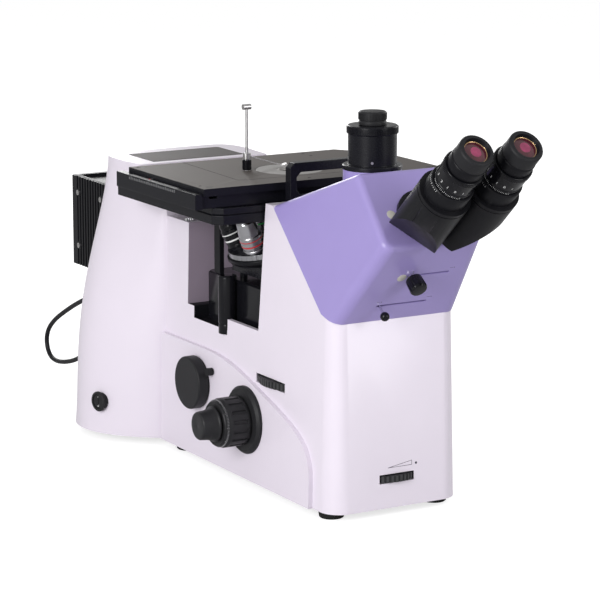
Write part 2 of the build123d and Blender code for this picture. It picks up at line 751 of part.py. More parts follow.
def make_base_plate():
    """Bottom plate of the casting and the column, with the dimmer wheel's axle."""
    half = BODY_HALF_W - BODY_WALL - SEAT
    front = BODY_FRONT + BODY_WALL + SEAT
    back = BODY_BACK - BODY_WALL - SEAT
    plan = Pos(0, (front + back) / 2) * Rectangle(2 * half, back - front)
    plan = fillet(plan.vertices().sort_by(Axis.Y)[:2], BODY_CORNER_R - BODY_WALL)
    plate = extrude(Plane.XY.offset(FOOT_H) * plan, amount=BASE_PLATE_T)
    plate += box(-WIRING_HALF_W + SEAT, WIRING_HALF_W - SEAT, BODY_BACK - 2 * BODY_WALL, BODY_BACK + 30,
                 FOOT_H, FOOT_H + BASE_PLATE_T)
    plate += box(-BASE_PLATE_HALF_W, BASE_PLATE_HALF_W, BODY_BACK + 28, COLUMN_BACK - COLUMN_WALL - SEAT,
                 FOOT_H, FOOT_H + BASE_PLATE_T)
    base = (0, dimmer_centre_y(), FOOT_H + 1)
    plate += rod(base, (0, 0, 1), AXLE_R, DIMMER_Z + DIMMER_T / 2 + 2 - base[2])
    plate += rod(base, (0, 0, 1), AXLE_R + 4, DIMMER_Z - DIMMER_T / 2 - SEAT - base[2])
    return plate


def foot_places():
    return [(x, y) for x in (-62, 62) for y in (-195, 120)] + [(-80, 255), (80, 255)]


def make_feet():
    """Six rubber feet under the bottom plate."""
    profile = [(0, 0), (FOOT_R - 2, 0), (FOOT_R - 1, 1), (FOOT_R, FOOT_H), (0, FOOT_H)]
    return group([turned(Plane((x, y, 0)), profile) for x, y in foot_places()])


def make_rear_panel():
    """Flat panel over the column's rear window."""
    panel = box(-PANEL_HALF_W, PANEL_HALF_W, COLUMN_BACK, COLUMN_BACK + PANEL_T, PANEL_BOTTOM, PANEL_TOP)
    panel -= box(INLET_X - INLET_W / 2 - SEAT, INLET_X + INLET_W / 2 + SEAT, COLUMN_BACK - 1,
                 COLUMN_BACK + PANEL_T + 1, INLET_Z - INLET_H / 2 - SEAT, INLET_Z + INLET_H / 2 + SEAT)
    for plane in panel_screw_planes():
        panel -= screw_hole(plane)
    return panel


def make_inlet():
    """Mains inlet: a socket with three blades, its rim on the rear panel."""
    face = COLUMN_BACK + PANEL_T
    w = INLET_W / 2
    h = INLET_H / 2
    body = box(INLET_X - w, INLET_X + w, face - INLET_DEPTH, face, INLET_Z - h, INLET_Z + h)
    body += box(INLET_X - w - INLET_RIM, INLET_X + w + INLET_RIM, face, face + 2,
                INLET_Z - h - INLET_RIM, INLET_Z + h + INLET_RIM)
    body -= box(INLET_X - w + 2, INLET_X + w - 2, face - INLET_MOUTH, face + 3, INLET_Z - h + 2, INLET_Z + h - 2)
    for i in (-1, 0, 1):
        x = INLET_X + i * BLADE_PITCH
        z = INLET_Z - 2 * abs(i) + 2
        body += box(x - BLADE_T / 2, x + BLADE_T / 2, face - INLET_MOUTH - 1, face - INLET_MOUTH + BLADE_L,
                    z - BLADE_W / 2, z + BLADE_W / 2)
    return body


def make_power_supply():
    """Closed power supply box on the bottom plate."""
    top = FOOT_H + BASE_PLATE_T + SUPPLY_H
    block = box(-SUPPLY_HALF_W, SUPPLY_HALF_W, SUPPLY_FRONT, SUPPLY_BACK, FOOT_H + BASE_PLATE_T, top)
    return chamfer(block.edges().filter_by(Axis.Z), 2)


def make_switch_bezel():
    """Ring and barrel of the power switch."""
    plane = switch_plane()
    body = turned(plane, [
        (0, -SWITCH_BARREL_L), (SWITCH_BARREL_R, -SWITCH_BARREL_L), (SWITCH_BARREL_R, -SWITCH_SINK),
        (SWITCH_R, -SWITCH_SINK), (SWITCH_R, SWITCH_PROUD - 0.5), (SWITCH_R - 0.5, SWITCH_PROUD),
        (ROCKER_MOUTH_R, SWITCH_PROUD), (ROCKER_MOUTH_R, -ROCKER_T - 2), (0, -ROCKER_T - 2),
    ])
    bore = Plane(origin=plane.origin - plane.x_dir * SWITCH_R - plane.z_dir * 3, z_dir=plane.x_dir)
    body -= bore * Cylinder(ROCKER_PIN_R + RUN, 2 * SWITCH_R, align=(Align.CENTER, Align.CENTER, Align.MIN))
    return body


def make_power_rocker():
    """Round rocker that tips about a level pin."""
    plane = switch_plane()
    cap = turned(plane, [(0, -ROCKER_T), (ROCKER_R - 1.2, -ROCKER_T), (ROCKER_R, 0), (ROCKER_R, 0.8), (0, 0.8)])
    ridge = plane * (Pos(0, 0, 0.4) * Box(1.4, 9, 2.2))
    pin = Plane(origin=plane.origin - plane.x_dir * (SWITCH_BARREL_R - 0.3) - plane.z_dir * 3, z_dir=plane.x_dir)
    axle = pin * Cylinder(ROCKER_PIN_R, 2 * (SWITCH_BARREL_R - 0.3), align=(Align.CENTER, Align.CENTER, Align.MIN))
    return cap + ridge + axle


# Head cover

def head_side_plane(inset, side):
    """A leaning side of the head, through the seam and in towards the tip."""
    top = Vector(body_half_width(PIER_TOP), SEAM_TOP_Y, PIER_TOP)
    low = Vector(body_half_width(SEAM_SIDE_Z), SEAM_SIDE_Y, SEAM_SIDE_Z)
    tip = Vector(HEAD_TIP_HALF_W, HEAD_TIP_Y, HEAD_TIP_Z)
    normal = (low - top).cross(tip - top).normalized()
    if normal.X < 0:
        normal = -normal
    origin = top - normal * inset
    return Plane(origin=(side * origin.X, origin.Y, origin.Z), z_dir=(side * normal.X, normal.Y, normal.Z))


def head_block(inset):
    """The head's outer form, or its hollow when inset."""
    corners = [
        (SEAM_TOP_Y, PIER_TOP),
        (HEAD_TOP_Y, HEAD_TOP_Z),
        (HEAD_TIP_Y, HEAD_TIP_Z),
        (body_front(SEAM_FRONT_Z), SEAM_FRONT_Z),
        (SEAM_SIDE_Y, SEAM_SIDE_Z),
    ]
    outline = make_face(Polyline([(y, z) for y, z in corners], close=True))
    if inset:
        outline = offset(outline, -inset)
    face = Plane(origin=(0, 0, 0), x_dir=(0, 1, 0), z_dir=(1, 0, 0)) * outline
    block = extrude(face, amount=BODY_HALF_W + 5, both=True)
    for side in (-1, 1):
        block = split(block, bisect_by=head_side_plane(inset, side), keep=Keep.BOTTOM)
    return block


def facet(a, b):
    """A sloping face between two (y, z) ridges: its plane at the first ridge, and the way down it."""
    down = Vector(0, b[0] - a[0], b[1] - a[1]).normalized()
    normal = down.cross(Vector(1, 0, 0)).normalized()
    if normal.Y > 0:
        normal = -normal
    return Plane(origin=(0, a[0], a[1]), x_dir=(1, 0, 0), z_dir=normal), down


def lower_facet(x, down, out=0.0):
    """A plane on the lower facet of the head, at X and a distance down from the tip ridge."""
    plane, way = facet((HEAD_TIP_Y, HEAD_TIP_Z), (body_front(SEAM_FRONT_Z), SEAM_FRONT_Z))
    origin = plane.origin + way * down + Vector(x, 0, 0) + plane.z_dir * out
    return Plane(origin=origin, x_dir=(1, 0, 0), z_dir=plane.z_dir)


def eye_plane(x=0.0, down=0.0, out=0.0):
    """A plane on the upper facet, from the binocular's pivot; its normal is the eyepiece axis."""
    plane, way = facet((HEAD_TOP_Y, HEAD_TOP_Z), (HEAD_TIP_Y, HEAD_TIP_Z))
    origin = plane.origin + way * (EYE_PIVOT_DOWN + down) + Vector(x, 0, 0) + plane.z_dir * out
    return Plane(origin=origin, x_dir=(1, 0, 0), z_dir=plane.z_dir)


def tube_plane(side, out=0.0):
    """Plane across one eyepiece tube."""
    drop = (EYE_ARM_R ** 2 - EYE_HALF_IPD ** 2) ** 0.5
    return eye_plane(side * EYE_HALF_IPD, drop, out)


def slot_cut(slot):
    """A long narrow slot through the lower facet."""
    left, right, down = slot
    plane = lower_facet((left + right) / 2, down, -2 * HEAD_WALL)
    return plane * extrude(SlotOverall(right - left, SLOT_H), amount=4 * HEAD_WALL)


def make_head_cover():
    """The head's faceted shell with rounded ridges, a boss for the camera port and two slots."""
    shell = head_block(0)
    lower = [e for e in shell.edges() if abs(e.center().X) > 40 and e.length > 80
             and HEAD_TIP_Y + 5 < e.center().Y < BODY_FRONT and e.center().Z < HEAD_TIP_Z - 5]
    shell = fillet(lower, HEAD_LOWER_EDGE_R)
    upper = [e for e in shell.edges() if e.center().Y < SEAM_TOP_Y - 30 and e.center().Z > HEAD_TIP_Z - 7
             and e.length > 60]
    shell = fillet(upper, HEAD_EDGE_R)
    shell += rod((0, PORT_Y, PIER_TOP), (0, 0, 1), PORT_BOSS_R, PORT_BOSS_TOP - PIER_TOP)
    shell -= head_block(HEAD_WALL)
    front = body_front(SEAM_FRONT_Z)
    way_in = [(SEAM_TOP_Y - HEAD_RIM, PIER_TOP), (HEAD_TOP_Y, PIER_TOP), (front - HEAD_RIM, SEAM_FRONT_Z + HEAD_RIM),
              (front + HEAD_WALL, SEAM_FRONT_Z - 5), (SEAM_SIDE_Y, SEAM_SIDE_Z - HEAD_RIM)]
    shell -= side_slab(way_in, body_half_width(PIER_TOP) - HEAD_RIM) & head_block(0)
    shell -= rod((0, PORT_Y, PIER_TOP - 10), (0, 0, 1), PORT_SLEEVE_R + RUN, PORT_BOSS_TOP - PIER_TOP + 20)
    shell -= slot_cut(BEAM_SLOT)
    shell -= slot_cut(BALL_SLOT)
    shell -= eye_plane(out=-2 * HEAD_WALL) * extrude(Circle(PIVOT_TUBE_R + SEAT), amount=4 * HEAD_WALL)
    return shell


def make_handle():
    """Flat carry handle that stands on the pier."""
    bar = box(-HANDLE_HALF_W, HANDLE_HALF_W, HANDLE_FRONT, HANDLE_BACK, PIER_TOP, HANDLE_TOP)
    bar = chamfer(bar.edges().filter_by(Axis.Y).sort_by(Axis.Z)[-2:], HANDLE_CHAMFER)
    window = box(-HANDLE_WINDOW_HALF_W, HANDLE_WINDOW_HALF_W, HANDLE_FRONT - 5, HANDLE_BACK + 5,
                 HANDLE_WINDOW_BOTTOM, HANDLE_WINDOW_TOP)
    window = chamfer(window.edges().filter_by(Axis.Y), HANDLE_CHAMFER)
    return bar - window


# Camera port

def port_plane(z):
    return Plane((0, PORT_Y, z))


def make_camera_tube():
    """Flange, tube and inner sleeve of the camera port, turned in one piece."""
    flange = PORT_BOSS_TOP
    bore = PORT_TUBE_R - PORT_TUBE_WALL
    inner = PORT_SLEEVE_R - PORT_TUBE_WALL / 2
    return turned(port_plane(0), [
        (inner, PORT_SLEEVE_BOTTOM), (PORT_SLEEVE_R, PORT_SLEEVE_BOTTOM), (PORT_SLEEVE_R, flange),
        (PORT_FLANGE_R, flange), (PORT_FLANGE_R, flange + PORT_FLANGE_T - 1),
        (PORT_FLANGE_R - 1, flange + PORT_FLANGE_T), (PORT_TUBE_R, flange + PORT_FLANGE_T),
        (PORT_TUBE_R, PORT_TUBE_TOP), (bore, PORT_TUBE_TOP), (bore, flange), (inner, flange - 4),
    ])


def make_port_collar():
    """Top collar with the camera thread."""
    top = PORT_TUBE_TOP + PORT_COLLAR_H
    return turned(port_plane(0), [
        (PORT_TUBE_R - PORT_TUBE_WALL, PORT_TUBE_TOP), (PORT_COLLAR_R - 1, PORT_TUBE_TOP),
        (PORT_COLLAR_R, PORT_TUBE_TOP + 1), (PORT_COLLAR_R, top - 1), (PORT_COLLAR_R - 1, top),
        (C_MOUNT_R, top), (C_MOUNT_R, top - C_MOUNT_L), (PORT_TUBE_R - PORT_TUBE_WALL, top - C_MOUNT_L),
    ])


def make_camera_cap():
    """Dust cap with a spigot in the camera thread."""
    low = PORT_TUBE_TOP + PORT_COLLAR_H
    spigot = C_MOUNT_R - SEAT
    return turned(port_plane(0), [
        (0, low - C_MOUNT_L + 1), (spigot, low - C_MOUNT_L + 1), (spigot, low + SEAT),
        (PORT_CAP_R, low + SEAT), (PORT_CAP_R, low + PORT_CAP_H - 1.5), (PORT_CAP_R - 1.5, low + PORT_CAP_H),
        (0, low + PORT_CAP_H),
    ])


def make_prism_block():
    """Prism block on the casting's slope: one way up to the camera port, one out to the binocular."""
    slope = Vector(0, SEAM_TOP_Y - SEAM_SIDE_Y, PIER_TOP - SEAM_SIDE_Z).normalized()
    normal = Vector(1, 0, 0).cross(slope)
    height = SEAM_SIDE_Z + (PORT_Y - SEAM_SIDE_Y) * slope.Z / slope.Y
    base = Plane(origin=(0, PORT_Y, height), x_dir=(1, 0, 0), z_dir=normal)
    block = base * Box(2 * PRISM_BLOCK_HALF_W, 2 * PRISM_BLOCK_HALF_L, PRISM_BLOCK_H,
                       align=(Align.CENTER, Align.CENTER, Align.MIN))
    block -= rod((0, PORT_Y, height - 40), (0, 0, 1), PRISM_BLOCK_BORE_R, 120)
    axis = eye_plane()
    meeting = axis.origin + axis.z_dir * ((PORT_Y - axis.origin.Y) / axis.z_dir.Y)
    return block - Plane(origin=meeting, z_dir=axis.z_dir) * extrude(Circle(PRISM_BLOCK_BORE_R), amount=80)


# Binocular

def hub_top():
    """Top of the upper arm's hub, above the facet."""
    return PIVOT_FLANGE_T + 2 * (ARM_PLATE_T + SEAT)


def arm_low(side):
    """Underside of an arm plate: the left arm lies under the right one."""
    return PIVOT_FLANGE_T + SEAT if side < 0 else PIVOT_FLANGE_T + 2 * SEAT + ARM_PLATE_T


def make_pivot_flange():
    """Flange on the head's upper facet with the hollow pivot that both arms turn on."""
    return turned(eye_plane(), [
        (PIVOT_TUBE_BORE_R, -HEAD_WALL), (PIVOT_TUBE_R, -HEAD_WALL), (PIVOT_TUBE_R, 0), (PIVOT_FLANGE_R, 0),
        (PIVOT_FLANGE_R, PIVOT_FLANGE_T - 1), (PIVOT_FLANGE_R - 1, PIVOT_FLANGE_T),
        (PIVOT_TUBE_R, PIVOT_FLANGE_T), (PIVOT_TUBE_R, hub_top() + SEAT), (PIVOT_TUBE_BORE_R, hub_top() + SEAT),
    ])


def make_pivot_cap():
    """Cap that keeps the arms on the pivot."""
    low = hub_top() + SEAT
    return turned(eye_plane(), [
        (0, low), (PIVOT_HUB_R - 1, low), (PIVOT_HUB_R - 1, low + PIVOT_CAP_T - 1),
        (PIVOT_HUB_R - 2, low + PIVOT_CAP_T), (0, low + PIVOT_CAP_T),
    ])


def make_prism_housing(side):
    """One prism housing: a wide tube with an oblique underside, its pivot arm and the eyepiece holder."""
    low = PIVOT_FLANGE_T + SEAT
    barrel = tube_plane(side, low) * extrude(Circle(PRISM_R), amount=PRISM_TOP - PRISM_COLLAR - low)
    foot = tube_plane(side, low)
    away = (foot.origin - eye_plane(out=low).origin).normalized()
    slope = radians(PRISM_CUT)
    underside = Plane(origin=foot.origin, z_dir=away * sin(slope) - foot.z_dir * cos(slope))
    barrel = split(barrel, bisect_by=underside, keep=Keep.BOTTOM)
    hollow = tube_plane(side, low + 14) * extrude(Circle(PRISM_R - PRISM_WALL), amount=PRISM_TOP - low - 18)
    inner_cut = Plane(origin=underside.origin - underside.z_dir * PRISM_WALL, z_dir=underside.z_dir)
    hollow = split(hollow, bisect_by=inner_cut, keep=Keep.BOTTOM)
    collar = ring(tube_plane(side), PRISM_R, SHANK_R + RUN, PRISM_TOP - PRISM_COLLAR, PRISM_TOP)
    groove = ring(tube_plane(side), PRISM_R + 1, PRISM_R - 0.8, PRISM_TOP - PRISM_COLLAR, PRISM_TOP - PRISM_COLLAR + 1)
    holder = turned(tube_plane(side), [
        (SHANK_R + RUN, PRISM_TOP), (HOLDER_R, PRISM_TOP), (HOLDER_R, HOLDER_TOP - 1),
        (HOLDER_R - 1, HOLDER_TOP), (SHANK_R + RUN, HOLDER_TOP),
    ])
    body = barrel + collar + holder - groove
    body -= hollow
    body -= eye_plane() * extrude(Circle(PIVOT_HUB_R + SLIP), amount=hub_top() + PIVOT_CAP_T + SLIP)
    plate_low = arm_low(side)
    start = eye_plane(out=plate_low)
    end = tube_plane(side, plate_low).origin
    along = (end - start.origin).normalized()
    across = Plane(origin=start.origin, x_dir=along, z_dir=start.z_dir)
    arm = across * Pos(EYE_ARM_R / 2, 0, 0) * Box(EYE_ARM_R, 2 * ARM_HALF_W, ARM_PLATE_T,
                                                  align=(Align.CENTER, Align.CENTER, Align.MIN))
    arm += start * extrude(Circle(PIVOT_HUB_R), amount=ARM_PLATE_T)
    arm -= eye_plane() * extrude(Circle(PIVOT_TUBE_R + RUN), amount=hub_top())
    return body + arm


def make_diopter_ring(side):
    """Focusing ring round one eyepiece shank."""
    low = HOLDER_TOP + SEAT
    body = fluted(tube_plane(side, low), DIOPTER_R, DIOPTER_TOP - low, 24, 1.6, 0.5)
    return body - tube_plane(side, low - 1) * extrude(Circle(SHANK_R + RUN), amount=DIOPTER_TOP - low + 2)


def make_eyepiece(side):
    """Eyepiece: a long shank under a flared rim."""
    low = HOLDER_TOP - SHANK_DEPTH
    head = DIOPTER_TOP + SEAT
    rim = EYEPIECE_TOP - EYEPIECE_RIM_L
    return turned(tube_plane(side), [
        (EYE_LENS_R - 1, low), (SHANK_R, low), (SHANK_R, head), (EYEPIECE_R, head), (EYEPIECE_R, rim - 1),
        (EYEPIECE_RIM_R, rim), (EYEPIECE_RIM_R, EYEPIECE_TOP - 1), (EYEPIECE_RIM_R - 1, EYEPIECE_TOP),
        (EYE_LENS_R + 2, EYEPIECE_TOP), (EYE_LENS_R, EYEPIECE_TOP - EYE_LENS_DEPTH),
        (EYE_LENS_R, EYEPIECE_TOP - EYE_LENS_DEPTH - EYE_LENS_T),
        (EYE_LENS_R - 1, EYEPIECE_TOP - EYE_LENS_DEPTH - EYE_LENS_T),
    ])


def make_eye_lens(side):
    """Domed glass of an eyepiece."""
    low = EYEPIECE_TOP - EYE_LENS_DEPTH - EYE_LENS_T
    return turned(tube_plane(side), [
        (0, low), (EYE_LENS_R - RUN, low), (EYE_LENS_R - RUN, low + EYE_LENS_T - 1.4),
        (EYE_LENS_R / 2, low + EYE_LENS_T - 0.4), (0, low + EYE_LENS_T),
    ])


# Levers on the head

def slider_plane(slot, x):
    """Plane of a lever's slider, just inside the head's wall."""
    return lower_facet(x, slot[2], -HEAD_WALL - SEAT - SLIDER_T)


def make_slider(plane):
    """Inner slider of a lever."""
    return plane * Box(3 * STEM_R + 4, 2 * SLIDER_HALF_H, SLIDER_T, align=(Align.CENTER, Align.CENTER, Align.MIN))


def make_beam_lever():
    """Knurled knob that slides along the upper slot."""
    x = BEAM_SLOT[0] + SLOT_H / 2 + 2
    base = slider_plane(BEAM_SLOT, x)
    stem = base * extrude(Circle(STEM_R), amount=SLIDER_T + SEAT + HEAD_WALL + BEAM_KNOB_OUT + 2)
    knob = fluted(lower_facet(x, BEAM_SLOT[2], BEAM_KNOB_OUT), BEAM_KNOB_R, BEAM_KNOB_L, 18, 1.0, 0.5)
    neck = lower_facet(x, BEAM_SLOT[2], SEAT) * extrude(Circle(BEAM_KNOB_R * 0.55), amount=BEAM_KNOB_OUT)
    return make_slider(base) + stem + knob + neck


def make_ball_lever():
    """Chrome stem with a ball that slides along the lower slot."""
    x = BALL_SLOT[0] + SLOT_H / 2 + 2
    base = slider_plane(BALL_SLOT, x)
    stem = base * extrude(Circle(STEM_R), amount=SLIDER_T + SEAT + HEAD_WALL + BALL_OUT)
    return make_slider(base) + stem + lower_facet(x, BALL_SLOT[2], BALL_OUT) * Sphere(BALL_R)


# Stage

def carriage_rail_ys():
    """Rails under the carriage: one in front of the well, one behind it."""
    return [(STAGE_FRONT - WELL_HALF_Y) / 2, WELL_HALF_Y + 16]


def top_rail_x():
    """The rail under the top plate, between the carriage's hole and the ledge."""
    return STAGE_LEFT + 14


def make_stage_base():
    """Fixed lower plate with a groove round its edge, a well for the nosepiece and a slot for the rear rail."""
    low = COLUMN_STEP_Z
    top = low + LOWER_T
    plan = Pos((LOWER_LEFT + LOWER_RIGHT) / 2, (STAGE_FRONT + LOWER_BACK) / 2) * Rectangle(
        LOWER_RIGHT - LOWER_LEFT, LOWER_BACK - STAGE_FRONT)
    plan = chamfer(plan.vertices(), LOWER_CHAMFER)
    plate = extrude(Plane.XY.offset(low) * plan, amount=LOWER_T)
    middle = low + LOWER_T / 2 + 1
    plate -= extrude(Plane.XY.offset(middle) * (plan - offset(plan, -GROOVE)), amount=GROOVE)
    plate -= box(WELL_LEFT, WELL_RIGHT, -WELL_HALF_Y, WELL_HALF_Y, low - 1, top + 1)
    reach = RAIL_L + STAGE_X_TRAVEL + SLIP
    y = carriage_rail_ys()[1]
    plate -= box(-reach, reach, y - RAIL_W / 2 - SEAT, y + RAIL_W / 2 + SEAT, top - RAIL_H - SEAT, top + 1)
    return plate


def make_stage_carriage():
    """Carriage that moves left and right, with the ruler's ledge along its left side."""
    low = CARRIAGE_TOP - CARRIAGE_T
    left = STAGE_LEFT - LEDGE_W
    plate = box(left, CARRIAGE_RIGHT, CARRIAGE_FRONT, STAGE_BACK - 2, low, CARRIAGE_TOP)
    plate += box(left, STAGE_LEFT - SEAT, STAGE_FRONT + 2, STAGE_BACK + 12, low, STAGE_TOP - LEDGE_DROP)
    plate -= box(-CARRIAGE_HOLE_X, CARRIAGE_HOLE_X, 2 - WELL_HALF_Y, WELL_HALF_Y + 1, low - 1, CARRIAGE_TOP + 1)
    y = carriage_rail_ys()[1]
    plate += box(-RAIL_L, RAIL_L, y - RAIL_W / 2, y + RAIL_W / 2, low - RAIL_H, low + 1)
    x = top_rail_x()
    plate -= box(x - RAIL_W / 2 - SEAT, x + RAIL_W / 2 + SEAT, CARRIAGE_FRONT - 1, STAGE_BACK,
                 CARRIAGE_TOP - RAIL_H - SEAT, CARRIAGE_TOP + 1)
    pocket_low = CARRIAGE_TOP - PINION_W + SLIP
    plate -= rod((DRIVE_X, DRIVE_Y, pocket_low), (0, 0, 1), pitch_r() + GEAR_ADDENDUM + SLIP, PINION_W + 2)
    rack_x = DRIVE_X - pitch_r()
    plate -= box(rack_x - GEAR_ROOT - RACK_BODY - SLIP, DRIVE_X, -STAGE_Y_FRONT_TRAVEL, STAGE_BACK + 5,
                 pocket_low, CARRIAGE_TOP + 1)
    return plate - rod((DRIVE_X, DRIVE_Y, low - 1), (0, 0, 1), SLEEVE_R + RUN, CARRIAGE_T + 2)


def top_screw_planes():
    """Screws on the stage's top plate."""
    places = [(STAGE_LEFT + 12, STAGE_BACK - 10), (STAGE_LEFT + 12, STAGE_FRONT + 10),
              (STAGE_RIGHT - 12, STAGE_FRONT + 10), (STAGE_RIGHT - 12, STAGE_BACK - STAGE_CORNER_Y - 6)]
    return [Plane((x, y, STAGE_TOP - SCREW_HEAD_H)) for x, y in places]


def make_stage_top():
    """Top plate that moves to and fro on the carriage."""
    low = STAGE_TOP - TOP_T
    plan = make_face(Polyline([
        (STAGE_LEFT, STAGE_FRONT), (STAGE_RIGHT, STAGE_FRONT), (STAGE_RIGHT, STAGE_BACK - STAGE_CORNER_Y),
        (STAGE_RIGHT - STAGE_CORNER_X, STAGE_BACK), (STAGE_LEFT, STAGE_BACK),
    ], close=True))
    plate = extrude(Plane.XY.offset(low) * plan, amount=TOP_T)
    plate -= rod((0, 0, STAGE_TOP - INSERT_T), (0, 0, 1), INSERT_R + SEAT, INSERT_T + 1)
    plate -= rod((0, 0, low - 1), (0, 0, 1), TOP_HOLE_R, TOP_T + 2)
    plate -= rod((CLIP_X, CLIP_Y, low - 1), (0, 0, 1), CLIP_ROD_R + RUN, TOP_T + 2)
    x = top_rail_x()
    plate += box(x - RAIL_W / 2, x + RAIL_W / 2, -RAIL_L / 2, RAIL_L / 2, low - RAIL_H, low + 1)
    for plane in top_screw_planes():
        plate -= plane.offset(-TOP_T / 2) * extrude(Circle(SCREW_SHANK_R + RUN), amount=TOP_T)
        plate -= plane * extrude(Circle(SCREW_HEAD_R + SEAT), amount=SCREW_HEAD_H + 1)
    teeth = Plane(origin=(DRIVE_X - pitch_r(), DRIVE_Y, low + 0.5), x_dir=(0, 1, 0), z_dir=(0, 0, -1))
    return plate + rack(teeth, -STAGE_Y_BACK_TRAVEL - 10, STAGE_Y_FRONT_TRAVEL + 10, PINION_W - 2)


def make_top_screws():
    """Short screws, flush in the stage's top plate."""
    short = [(0, -TOP_T / 2), (SCREW_SHANK_R, -TOP_T / 2), (SCREW_SHANK_R, 0), (SCREW_HEAD_R, 0),
             (SCREW_HEAD_R, SCREW_HEAD_H), (0, SCREW_HEAD_H)]
    return group([turned(plane, short) for plane in top_screw_planes()])


def make_stage_insert():
    """Round insert with the viewing hole."""
    low = STAGE_TOP - INSERT_T
    return turned(Plane.XY, [
        (INSERT_HOLE_R, low), (INSERT_R, low), (INSERT_R, STAGE_TOP - 0.3), (INSERT_R - 0.3, STAGE_TOP),
        (INSERT_HOLE_R + 1, STAGE_TOP),
    ])


def make_y_knob():
    """Upper drive knob: a fluted barrel on a sleeve, with the pinion that moves the top plate."""
    low = Y_KNOB_TOP - Y_KNOB_L
    barrel = fluted(Plane((DRIVE_X, DRIVE_Y, low)), Y_KNOB_R, Y_KNOB_L, 16, 1.2, 0.6)
    top = CARRIAGE_TOP - SLIP
    sleeve = rod((DRIVE_X, DRIVE_Y, Y_KNOB_TOP - 1), (0, 0, 1), SLEEVE_R, top - Y_KNOB_TOP)
    gear_low = CARRIAGE_TOP - PINION_W + 2 * SLIP
    facing = Plane(origin=(DRIVE_X, DRIVE_Y, gear_low), x_dir=(-1, 0, 0), z_dir=(0, 0, 1))
    body = barrel + sleeve + pinion(facing, top - gear_low)
    return body - rod((DRIVE_X, DRIVE_Y, low - 1), (0, 0, 1), DRIVE_SHAFT_R + RUN, top - low + 2)


def make_x_knob():
    """Lower drive knob on the inner shaft."""
    top = Y_KNOB_TOP - Y_KNOB_L - SLIP
    barrel = fluted(Plane((DRIVE_X, DRIVE_Y, top - X_KNOB_L)), X_KNOB_R, X_KNOB_L, 14, 1.2, 0.6)
    return barrel + rod((DRIVE_X, DRIVE_Y, top - 1), (0, 0, 1), DRIVE_SHAFT_R, CARRIAGE_TOP - SLIP - top)


def make_clip_post():
    """Post of the specimen clip: knurled base, tall rod and a small cross knob on top."""
    base = fluted(Plane((CLIP_X, CLIP_Y, STAGE_TOP)), CLIP_BASE_R, CLIP_BASE_H, 12, 0.8, 0.4)
    low = STAGE_TOP - TOP_T + 1
    base += rod((CLIP_X, CLIP_Y, low), (0, 0, 1), CLIP_ROD_R, CLIP_ROD_TOP - low)
    return base + rod((CLIP_X - CLIP_CROSS_L / 2, CLIP_Y, CLIP_ROD_TOP), (1, 0, 0), CLIP_CROSS_R, CLIP_CROSS_L)


def make_clip_arm():
    """Arm that turns about the post and presses on the slide."""
    low = STAGE_TOP + CLIP_BASE_H + SEAT
    hub = rod((CLIP_X, CLIP_Y, low), (0, 0, 1), CLIP_HUB_R, CLIP_HUB_H)
    start = CLIP_HUB_H / 2
    end = start - CLIP_ARM_DROP
    toe = 4.0
    outline = make_face(Polyline([
        (0, start), (CLIP_ARM_L, end), (CLIP_ARM_L + toe, end + 1.5), (CLIP_ARM_L + toe, end + 1.5 + CLIP_ARM_T),
        (CLIP_ARM_L, end + CLIP_ARM_T), (0, start + CLIP_ARM_T),
    ], close=True))
    side = Plane(origin=(CLIP_X, CLIP_Y + CLIP_ARM_W / 2, low), x_dir=(1, 0, 0), z_dir=(0, -1, 0))
    arm = side * extrude(outline, amount=CLIP_ARM_W)
    return hub + arm - rod((CLIP_X, CLIP_Y, low - 1), (0, 0, 1), CLIP_ROD_R + RUN, CLIP_HUB_H + 2)


# Nosepiece

def turret_plane(height=0.0):
    """Plane across the turret's axis; height 0 holds the objective seats."""
    tilt = radians(TURRET_TILT)
    axis = Vector(-sin(tilt), 0, cos(tilt))
    outward = Vector(cos(tilt), 0, sin(tilt))
    centre = Vector(0, 0, SEAT_Z) - outward * TURRET_PITCH_R
    return Plane(origin=centre + axis * height, x_dir=outward, z_dir=axis)


def seat_plane(index, height=0.0):
    """Seat of an objective; its normal is the objective's axis."""
    turn = radians(360 * index / len(OBJECTIVES))
    hub = turret_plane()
    outward = hub.x_dir * cos(turn) + hub.y_dir * sin(turn)
    axis = hub.z_dir * cos(radians(TURRET_TILT)) + outward * sin(radians(TURRET_TILT))
    origin = hub.origin + outward * TURRET_PITCH_R + axis * height
    return Plane(origin=origin, z_dir=axis)


def make_nosepiece_carrier():
    """Carrier with its skirt and pivot pin, the focus rack and three guide pins."""
    top = CARRIER_BOTTOM + CARRIER_T
    plan = Pos((CARRIER_LEFT + CARRIER_RIGHT) / 2, (CARRIER_FRONT + CARRIER_BACK) / 2) * Rectangle(
        CARRIER_RIGHT - CARRIER_LEFT, CARRIER_BACK - CARRIER_FRONT)
    plan = fillet(plan.vertices(), 6)
    body = extrude(Plane.XY.offset(CARRIER_BOTTOM) * plan, amount=CARRIER_T)
    skirt = rod((NOSE_X, 0, top - 1), (0, 0, 1), NOSE_R, 60)
    body += split(skirt, bisect_by=turret_plane(-TURRET_H - SEAT), keep=Keep.BOTTOM)
    body += turret_plane(-TURRET_H - 6) * extrude(Circle(TURRET_PIN_R), amount=TURRET_H + 4)
    teeth = Plane(origin=(PINION_X - PINION_W / 2, FOCUS_Y + pitch_r(), FOCUS_Z), x_dir=(0, 0, 1), z_dir=(1, 0, 0))
    body += rack(teeth, -16, CARRIER_BOTTOM + 1 - FOCUS_Z, PINION_W)
    for x, y in GUIDE_PLACES:
        body += rod((x, y, GUIDE_BOTTOM), (0, 0, 1), GUIDE_R, CARRIER_BOTTOM + 1 - GUIDE_BOTTOM)
    return body - rod((0, 0, CARRIER_BOTTOM - 1), (0, 0, 1), CARRIER_HOLE_R, 60)


